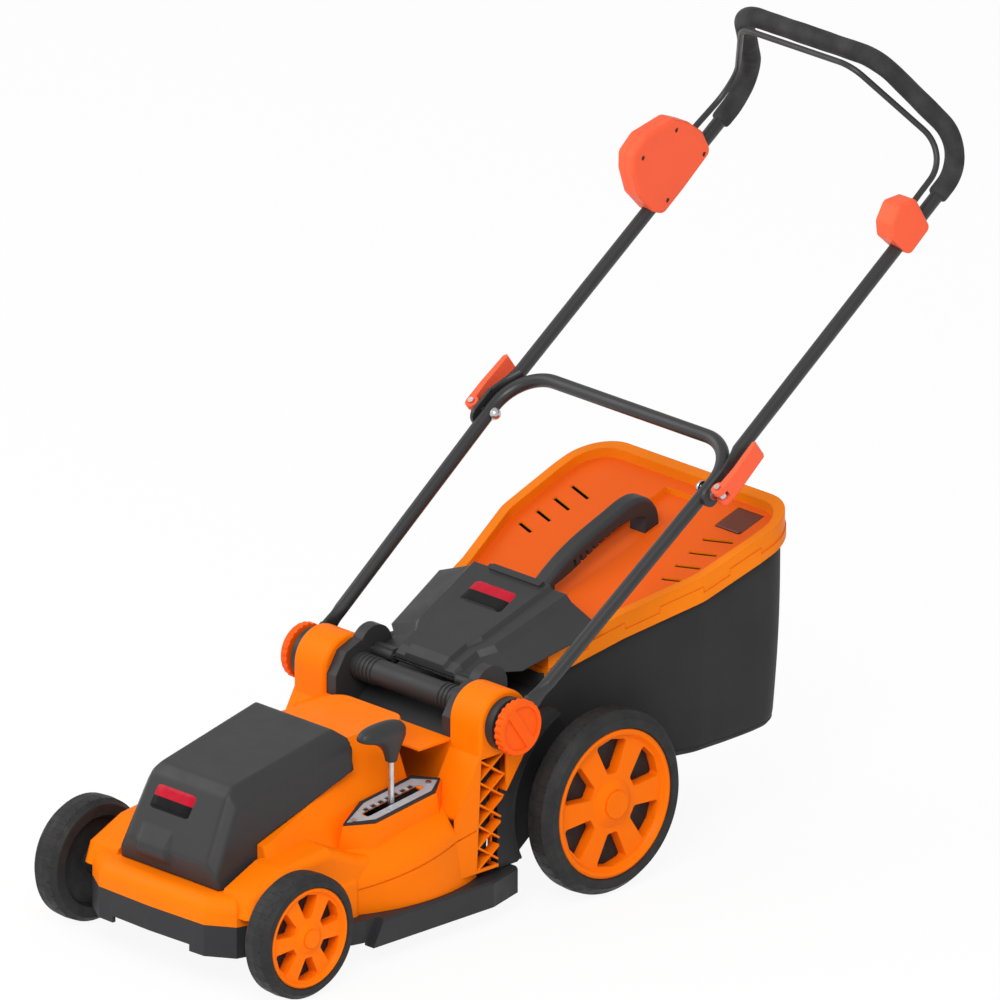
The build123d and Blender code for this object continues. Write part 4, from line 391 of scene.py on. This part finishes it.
# Wheels: black rubber tyres pressed over orange spoked plastic rims, which turn on the cranked steel
# axles and are held by hub caps snapped on.
def tyre_rubber(name, centre, radius, lugs):
    """Moulded rubber: fine rings on the side wall from the distance to the axle, tread blocks on the
    running face from the angle round it."""
    finish, tree, shader, place = new_finish(name, (0.02, 0.02, 0.021), 0.6)
    shader.inputs["Specular IOR Level"].default_value = 0.25
    axle = tree.nodes.new("ShaderNodeMapping")
    axle.inputs["Location"].default_value = (0, -centre[0], -centre[1])
    tree.links.new(place, axle.inputs["Vector"])
    parts = tree.nodes.new("ShaderNodeSeparateXYZ")
    tree.links.new(axle.outputs["Vector"], parts.inputs["Vector"])
    y, z = parts.outputs["Y"], parts.outputs["Z"]
    squares = reckon(tree, "ADD", reckon(tree, "MULTIPLY", y, y), reckon(tree, "MULTIPLY", z, z))
    away = reckon(tree, "SQRT", squares)
    turn = reckon(tree, "MULTIPLY", reckon(tree, "ARCTAN2", z, y), lugs)
    block = spread(tree, reckon(tree, "SINE", turn), -0.35, 0.1, 0, 1)
    tread = reckon(tree, "MULTIPLY", block, spread(tree, away, radius - 0.004, radius - 0.001, 0, 1))
    rings = reckon(tree, "MULTIPLY", reckon(tree, "SINE", reckon(tree, "MULTIPLY", away, 2600)), 0.12)
    dust = spread(tree, cloud(tree, place, 45, 5), 0.35, 0.75, 0, 1)
    tree.links.new(tint(tree, dust, (0.017, 0.017, 0.018), (0.026, 0.026, 0.025)),
                   shader.inputs["Base Color"])
    tree.links.new(spread(tree, cloud(tree, place, 120, 4), 0.3, 0.7, 0.5, 0.68), shader.inputs["Roughness"])
    rounded = soft_edges(tree, 0.0025)[0]
    relief(tree, shader, reckon(tree, "ADD", tread, rings), 0.6, 0.0012, rounded)
    return finish


for end, centre, radius, lugs in (("front", (-0.165, 0.082), 0.082, 26),
                                  ("rear", (0.3715, 0.1225), 0.1225, 38)):
    tread = tyre_rubber(f"{end}_tread", centre, radius, lugs)
    dress([f"{end}_left_tyre", f"{end}_right_tyre"], tread)
wheel_orange = moulded_plastic("wheel_orange", (0.95, 0.17, 0.001), 0.4, 1500, 0.00005, 0.04, 0.06,
                               0.0015)
dress([f"{end}_{hand}_{part}" for end in ("front", "rear") for hand in ("left", "right")
       for part in ("rim", "hub_cap")], wheel_orange)

# Handle frames and bail: bent steel tube and rod with black powder coat. The lower handle is held by
# the clamp knobs, the upper one by the cam levers, and the bail turns in its two boxes.
powder_black = moulded_plastic("powder_black", (0.024, 0.024, 0.025), 0.38, 620, 0.00018, 0.08, 0.45)
dress(["lower_handle_tube", "upper_handle_tube", "bail_bar"], powder_black)


# Grip: one sleeve of black closed-cell foam, skinned and slightly soft, pushed over the whole top loop
# of the upper handle and held by its own stretch.
def rounded_path(corners, bends, step):
    """Path through corners: straight runs joined by tangent arcs of the bend radii, then points at
    equal steps along it. Returns the points and their distance from the start."""
    corners = np.asarray(corners, float)
    runs = [corners[:1]]
    for before, corner, after, bend in zip(corners[:-2], corners[1:-1], corners[2:], bends):
        back = (before - corner) / np.linalg.norm(before - corner)
        ahead = (after - corner) / np.linalg.norm(after - corner)
        half = 0.5 * np.arccos(np.clip(back @ ahead, -1, 1))
        centre = corner + (back + ahead) / np.linalg.norm(back + ahead) * bend / np.sin(half)
        first = corner + back * bend / np.tan(half) - centre
        last = corner + ahead * bend / np.tan(half) - centre
        turn = np.pi - 2 * half
        share = np.linspace(0, 1, 32)[:, None]
        swing = np.sin((1 - share) * turn) * first + np.sin(share * turn) * last
        runs.append(centre + swing / np.sin(turn))
    line = np.concatenate(runs + [corners[-1:]])
    gone = np.concatenate([[0], np.cumsum(np.linalg.norm(np.diff(line, axis=0), axis=1))])
    reach = np.linspace(0, gone[-1], max(3, int(round(gone[-1] / step)) + 1))
    return np.stack([np.interp(reach, gone, line[:, axis]) for axis in range(3)], 1), reach


def sleeve(path, across, depth, sides, keep, ring=False):
    """Skin round a path: an ellipse of half-sizes across and depth, one value for each point of the
    path, in the plane square to it; keep is a direction that the path never takes. A ring's path ends
    where it starts."""
    ahead = np.gradient(path, axis=0)
    if ring:
        ahead[0] = ahead[-1] = path[1] - path[-2]
    ahead /= np.linalg.norm(ahead, axis=1)[:, None]
    side = np.cross(ahead, keep)
    side /= np.linalg.norm(side, axis=1)[:, None]
    up = np.cross(side, ahead)
    angle = np.linspace(0, 2 * np.pi, sides, endpoint=False)
    out = np.cos(angle)[None, :, None] * side[:, None] * np.asarray(across)[:, None, None]
    out = out + np.sin(angle)[None, :, None] * up[:, None] * np.asarray(depth)[:, None, None]
    return path[:, None] + out


slope = math.radians(35.6)


def up_handle(distance, x):
    """Point on the handle's middle line at a distance from its lower pivot, in metres."""
    return np.array([x, 0.2165 + distance * math.cos(slope), 0.262 + distance * math.sin(slope)])


foam_black, foam_tree, foam_shader, foam_place = new_finish("foam_black", (0.03, 0.03, 0.031), 0.78)
foam_shader.inputs["Specular IOR Level"].default_value = 0.3
pores = foam_tree.nodes.new("ShaderNodeTexVoronoi")
pores.inputs["Scale"].default_value = 1400
foam_tree.links.new(foam_place, pores.inputs["Vector"])
rubbed = spread(foam_tree, cloud(foam_tree, foam_place, 38, 4), 0.35, 0.7, 0, 1)
foam_tree.links.new(tint(foam_tree, rubbed, (0.026, 0.026, 0.027), (0.04, 0.04, 0.041)),
                    foam_shader.inputs["Base Color"])
foam_tree.links.new(spread(foam_tree, rubbed, 0, 1, 0.84, 0.62), foam_shader.inputs["Roughness"])
relief(foam_tree, foam_shader, pores.outputs["Distance"], 0.5, 0.0004)
leg = up_handle(0.909, 0.19736)
elbow = up_handle(0.987, 0.197)
crown = np.array([0.124, 0.925, 0.966])
flip = np.array([-1, 1, 1])
loop, along = rounded_path([leg, elbow, crown, crown * flip, elbow * flip, leg * flip],
                           [0.058, 0.05, 0.05, 0.058], 0.003)
from_end = np.minimum(along, along[-1] - along)
plump = 0.0131 - 0.0041 * np.exp(-from_end / 0.0016)
plump = plump + 0.00018 * np.sin(along / 0.017) + 0.00012 * np.sin(along / 0.0071 + 1)
foam_sides = 28
skin = sleeve(loop, plump, plump * 0.985, foam_sides, (0, 1, 0))
foam = make_piece("grip_foam", skin, grid_faces(len(loop), foam_sides, True), foam_black)
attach(foam, "upper_handle")
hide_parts("foam_grip")

# Clamp knobs: orange-red mouldings screwed on the handle's pivot bolts. Cam levers, switch box and
# pivot block: paler red-orange mouldings clamped round the tubes.
knob_orange = moulded_plastic("knob_orange", (0.97, 0.11, 0.004), 0.4, 1300, 0.00006, 0.04, 0.08)
dress(["clamp_knob_left", "clamp_knob_right"], knob_orange)
coral = moulded_plastic("coral", (0.95, 0.125, 0.05), 0.4, 1300, 0.00006, 0.04, 0.12, 0.002)
dress(["cam_lever_left", "cam_lever_right", "switch_box_inner", "switch_box_outer", "bail_pivot_block"],
      coral)
dress(["lock_button", "switch_box_screws"], charcoal)


# Grass box: orange lid with a redder sunk panel, a brown fill window, and a bag of coated weave
# sewn into the lid's rim and hung from it.
def sunk_panel(tree, place):
    """Mask of the lid's panel: 1 where a point is well below the sloping plane of the rim and faces
    up."""
    parts = tree.nodes.new("ShaderNodeSeparateXYZ")
    tree.links.new(place, parts.inputs["Vector"])
    rim_plane = reckon(tree, "MULTIPLY", parts.outputs["Y"], 0.31)
    rise = reckon(tree, "SUBTRACT", parts.outputs["Z"], rim_plane)
    deep = spread(tree, rise, 0.2, 0.194, 0, 1)
    facing = tree.nodes.new("ShaderNodeNewGeometry")
    lean = tree.nodes.new("ShaderNodeSeparateXYZ")
    tree.links.new(facing.outputs["Normal"], lean.inputs["Vector"])
    return reckon(tree, "MULTIPLY", deep, spread(tree, lean.outputs["Z"], 0.3, 0.6, 0, 1))


lid_orange = moulded_plastic("lid_orange", (0.85, 0.2, 0.004), 0.42, 1400, 0.00006, 0.05, 0.08, 0.0015,
                             ((0.8, 0.112, 0.008), sunk_panel))
dress(["bag_lid"], lid_orange)
window_brown = moulded_plastic("window_brown", (0.12, 0.022, 0.007), 0.3, 900, 0.00005, 0.1, 0.4)
dress(["fill_flap"], window_brown)

bag_weave, weave_tree, weave_shader, weave_place = new_finish("bag_weave", (0.024, 0.024, 0.025), 0.72)
weave_shader.inputs["Specular IOR Level"].default_value = 0.18
weave_shader.inputs["Sheen Weight"].default_value = 0.05
weave_shader.inputs["Sheen Roughness"].default_value = 0.5
weave_uv = weave_tree.nodes.new("ShaderNodeUVMap")
weave_uv.uv_map = "lay"
weave_split = weave_tree.nodes.new("ShaderNodeSeparateXYZ")
weave_tree.links.new(weave_uv.outputs["UV"], weave_split.inputs["Vector"])
thread_wave = 2 * math.pi / 0.0016
warp = reckon(weave_tree, "SINE", reckon(weave_tree, "MULTIPLY", weave_split.outputs["X"], thread_wave))
weft = reckon(weave_tree, "SINE", reckon(weave_tree, "MULTIPLY", weave_split.outputs["Y"], thread_wave))
over_under = spread(weave_tree, reckon(weave_tree, "MULTIPLY", warp, weft), -1, 1, 0, 1)
aged = spread(weave_tree, cloud(weave_tree, weave_place, 9, 5), 0.3, 0.7, 0, 1)
coated = tint(weave_tree, aged, (0.018, 0.018, 0.019), (0.025, 0.025, 0.026))
# Painted highlight: the raised threads of the one-coloured weave get a lighter tone, as if lit on their tops.
raised = spread(weave_tree, over_under, 0, 1, 0, 0.5)
weave_tree.links.new(tint(weave_tree, raised, coated, (0.034, 0.034, 0.035)),
                     weave_shader.inputs["Base Color"])
weave_tree.links.new(spread(weave_tree, over_under, 0, 1, 0.8, 0.6), weave_shader.inputs["Roughness"])
relief(weave_tree, weave_shader, over_under, 0.35, 0.0003)


mouth_y = 0.3395


def bag_bottom(y):
    """Height of the bag's lower edge: smooth maximum of a line falling from the mouth and one rising
    to the rear."""
    falling = 0.156 - (y - mouth_y) * 0.297
    rising = 0.126 + (y - 0.44) * 0.045
    return 0.5 * (falling + rising + np.sqrt((falling - rising) ** 2 + 0.012 ** 2))


mouth_half = 0.1
mouth_steps = 10
front_x = np.linspace(0, mouth_half, mouth_steps + 1)
front = np.column_stack([front_x, np.full(mouth_steps + 1, mouth_y), np.zeros(mouth_steps + 1)])
flank = rounded_path([(mouth_half, mouth_y, 0), (0.1135, mouth_y, 0), (0.1395, 0.45, 0), (0.1775, 0.556, 0),
                      (0.1835, 0.65, 0), (0.1835, 0.7235, 0), (0, 0.7235, 0)],
                     [0.008, 0.06, 0.06, 0.06, 0.054], 0.007)[0]
near_half = np.concatenate([front, flank[1:]])
outline = np.concatenate([near_half, (near_half * flip)[-2:0:-1]])[:, :2]
ahead = np.roll(outline, -1, 0) - np.roll(outline, 1, 0)
outward = np.stack([ahead[:, 1], -ahead[:, 0]], 1) / np.linalg.norm(ahead, axis=1)[:, None]
stretch = np.linalg.norm(np.roll(outline, -1, 0) - outline, axis=1)
round_bag = np.concatenate([[0], np.cumsum(stretch)])
top_edge = 0.175 + 0.31 * outline[:, 1]
turn_r = 0.012
mouth_top, mouth_low = 0.25, 0.166
mouth_depth = top_edge[0] - bag_bottom(mouth_y) - turn_r
mouth_rows = [(top_edge[0] - level) / mouth_depth for level in (mouth_top, mouth_low)]
rows_above, rows_beside = 6, 19
down = np.concatenate([np.linspace(0, mouth_rows[0], rows_above + 1),
                       np.linspace(*mouth_rows, rows_beside + 1)[1:], np.linspace(mouth_rows[1], 1, 3)[1:]])


def bag_ring(t, tuck):
    """One level of the bag: the plan outline pushed in by its lean and tuck and out by a belly that is
    widest half-way down, with shallow gathers under the rim."""
    back = np.clip((outline[:, 1] - 0.345) / 0.06, 0, 1)
    rear = np.clip((outline[:, 1] - 0.6) / 0.12, 0, 1)
    belly = 0.0032 * np.sin(np.pi * t) * back
    under_rim = 0.0007 * np.sin(round_bag[:-1] / 0.0125) * np.exp(-5 * t)
    gathers = back * (under_rim + 0.0006 * np.sin(round_bag[:-1] / 0.023 + 2) * t)
    push = belly + gathers - 0.001 * back - t * back * (0.003 + 0.006 * rear) - tuck
    plan = outline + outward * push[:, None]
    low = bag_bottom(plan[:, 1]) + turn_r
    height = top_edge + (low - top_edge) * t
    return np.column_stack([plan, height])


levels = [bag_ring(t, 0.0) for t in down]
for angle in np.radians((25, 50, 75, 90)):
    level = bag_ring(1.0, turn_r * (1 - math.cos(angle)))
    level[:, 2] -= turn_r * math.sin(angle)
    levels.append(level)
middle = np.array([0, 0.54])
for inward in (0.1, 0.25, 0.45, 0.65, 0.85):
    level = levels[len(down) + 3].copy()
    level[:, :2] += (middle - level[:, :2]) * inward
    level[:, 2] = bag_bottom(level[:, 1]) - 0.004 * math.sin(inward * math.pi / 2)
    levels.append(level)
levels = np.stack(levels)
rows, columns = levels.shape[:2]
bag_faces = grid_faces(rows, columns, True)[:, ::-1]
drop = np.concatenate([[0], np.cumsum(np.linalg.norm(np.diff(levels[:, columns // 4], axis=0), axis=1))])
bag_lay = corner_uv(round_bag, drop).reshape(-1, 4, 2)[:, ::-1]
row_of, column_of = np.divmod(np.arange(len(bag_faces)), columns)
beside_mouth = (column_of < mouth_steps) | (column_of >= columns - mouth_steps)
in_mouth = (row_of >= rows_above) & (row_of < rows_above + rows_beside) & beside_mouth
pole = np.append(middle, bag_bottom(0.54) - 0.0042)
last = (rows - 1) * columns + np.arange(columns)
pole_faces = np.stack([np.roll(last, -1), last, np.full(columns, rows * columns)], 1)
pole_lay = np.zeros((columns, 3, 2)) + drop[-1]
bag_points = np.concatenate([levels.reshape(-1, 3), pole[None]])
faces = bag_faces[~in_mouth].tolist() + pole_faces.tolist()
lay = np.concatenate([bag_lay[~in_mouth].reshape(-1, 2), pole_lay.reshape(-1, 2)])
bag = make_piece("bag_cloth", bag_points, faces, bag_weave, lay)
wall = bag.modifiers.new("cloth_thickness", "SOLIDIFY")
wall.thickness = 0.0014
wall.offset = -1
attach(bag, "grass_box")
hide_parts("grass_bag")


# Mouth frame of the bag: a black plastic hoop sewn round the opening, which sits on the chute of the
# chassis and holds the mouth in shape.
def closed_sleeve(path, across, depth, sides, keep):
    """Skin round a closed path, an ellipse as in sleeve, and its quads, with the last ring joined to
    the first."""
    closed = np.concatenate([path, path[:1]])
    skin = sleeve(closed, np.full(len(closed), across), np.full(len(closed), depth), sides, keep, True)
    index = np.arange(len(path) * sides).reshape(len(path), sides)
    later = np.roll(index, -1, 0)
    quads = np.stack([index, later, np.roll(later, -1, 1), np.roll(index, -1, 1)], -1)
    return skin[:-1], quads.reshape(-1, 4)


hoop_y = 0.343
hoop_path = rounded_path([(0, hoop_y, mouth_low), (mouth_half, hoop_y, mouth_low),
                          (mouth_half, hoop_y, mouth_top), (-mouth_half, hoop_y, mouth_top),
                          (-mouth_half, hoop_y, mouth_low), (0, hoop_y, mouth_low)], [0.006] * 4, 0.004)[0]
hoop_skin, hoop_quads = closed_sleeve(hoop_path[:-1], 0.0045, 0.0022, 12, (0, 1, 0))
hoop = make_piece("bag_mouth_frame", hoop_skin, hoop_quads, chassis_black)
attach(hoop, "grass_box")

# Piping: a welt of folded black tape sewn into the bag's lower edge, where wall and floor meet.
welt_path = levels[len(down)] + np.column_stack([outward * 0.0004, np.zeros(columns)])
welt_skin, welt_quads = closed_sleeve(welt_path, 0.0013, 0.0013, 8, (0, 0, 1))
welt = make_piece("bag_piping", welt_skin, welt_quads, foam_black)
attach(welt, "grass_box")

# Studio: pale floor, even sky and two soft lamps; the camera looks from the photograph's side
# through a long lens, because the photograph has no perspective.
floor_mesh = bpy.data.meshes.new("studio_floor")
half_floor, floor_z = 60, -0.0005
floor_corners = [(-half_floor, -half_floor, floor_z), (half_floor, -half_floor, floor_z),
                 (half_floor, half_floor, floor_z), (-half_floor, half_floor, floor_z)]
floor_mesh.from_pydata(floor_corners, [], [(0, 1, 2, 3)])
studio_floor = bpy.data.objects.new("studio_floor", floor_mesh)
bpy.context.scene.collection.objects.link(studio_floor)
floor_pale, floor_tree, floor_shader, _ = new_finish("floor_pale", (0.9, 0.9, 0.9), 0.8)
floor_shader.inputs["Specular IOR Level"].default_value = 0.0
glow = floor_tree.nodes.new("ShaderNodeEmission")
rays = floor_tree.nodes.new("ShaderNodeLightPath")
direct = reckon(floor_tree, "MAXIMUM", rays.outputs["Is Camera Ray"], rays.outputs["Is Glossy Ray"])
seen = reckon(floor_tree, "MAXIMUM", direct, rays.outputs["Is Transmission Ray"])
mixed = floor_tree.nodes.new("ShaderNodeMixShader")
floor_tree.links.new(reckon(floor_tree, "MULTIPLY", seen, 0.92), mixed.inputs["Fac"])
floor_tree.links.new(floor_shader.outputs["BSDF"], mixed.inputs[1])
floor_tree.links.new(glow.outputs["Emission"], mixed.inputs[2])
floor_tree.links.new(mixed.outputs["Shader"], floor_tree.nodes["Material Output"].inputs["Surface"])
floor_mesh.materials.append(floor_pale)
sky = bpy.data.worlds.new("studio_sky")
bpy.context.scene.world = sky
sky.use_nodes = True
sky_tree = sky.node_tree
sky_light = sky_tree.nodes["Background"]
sky_light.inputs["Color"].default_value = (1, 1, 1, 1)
sky_rays = sky_tree.nodes.new("ShaderNodeLightPath")
sky_tree.links.new(spread(sky_tree, sky_rays.outputs["Is Camera Ray"], 0, 1, 0.7, 1.0),
                   sky_light.inputs["Strength"])
for lamp_name, spot, aim, size, power in (
        ("key_lamp", (2.2, -2.6, 3.4), (0, 0.2, 0.3), 2.2, 120),
        ("fill_lamp", (-2.8, -1.2, 2.2), (0, 0.3, 0.4), 2.4, 40)):
    lamp_data = bpy.data.lights.new(lamp_name, "AREA")
    lamp_data.size = size
    lamp_data.energy = power
    lamp = bpy.data.objects.new(lamp_name, lamp_data)
    lamp.location = spot
    lamp.rotation_euler = (Vector(aim) - Vector(spot)).to_track_quat("-Z", "Y").to_euler()
    bpy.context.scene.collection.objects.link(lamp)
lens_data = bpy.data.cameras.new("photo_camera")
focal, film, view_width = 1400, 36, 1.2675
lens_data.lens = focal
lens_data.sensor_width = film
lens_data.clip_end = 200
photo_camera = bpy.data.objects.new("photo_camera", lens_data)
bpy.context.scene.collection.objects.link(photo_camera)
look_back = Vector((0.6741, -0.6531, 0.3451)).normalized()
view_centre = Vector((0.0538, 0.3221, 0.5043))
photo_camera.location = view_centre + look_back * (view_width * focal / film)
photo_camera.rotation_euler = look_back.to_track_quat("Z", "Y").to_euler()
bpy.context.scene.camera = photo_camera
bpy.context.scene.view_settings.view_transform = "Standard"
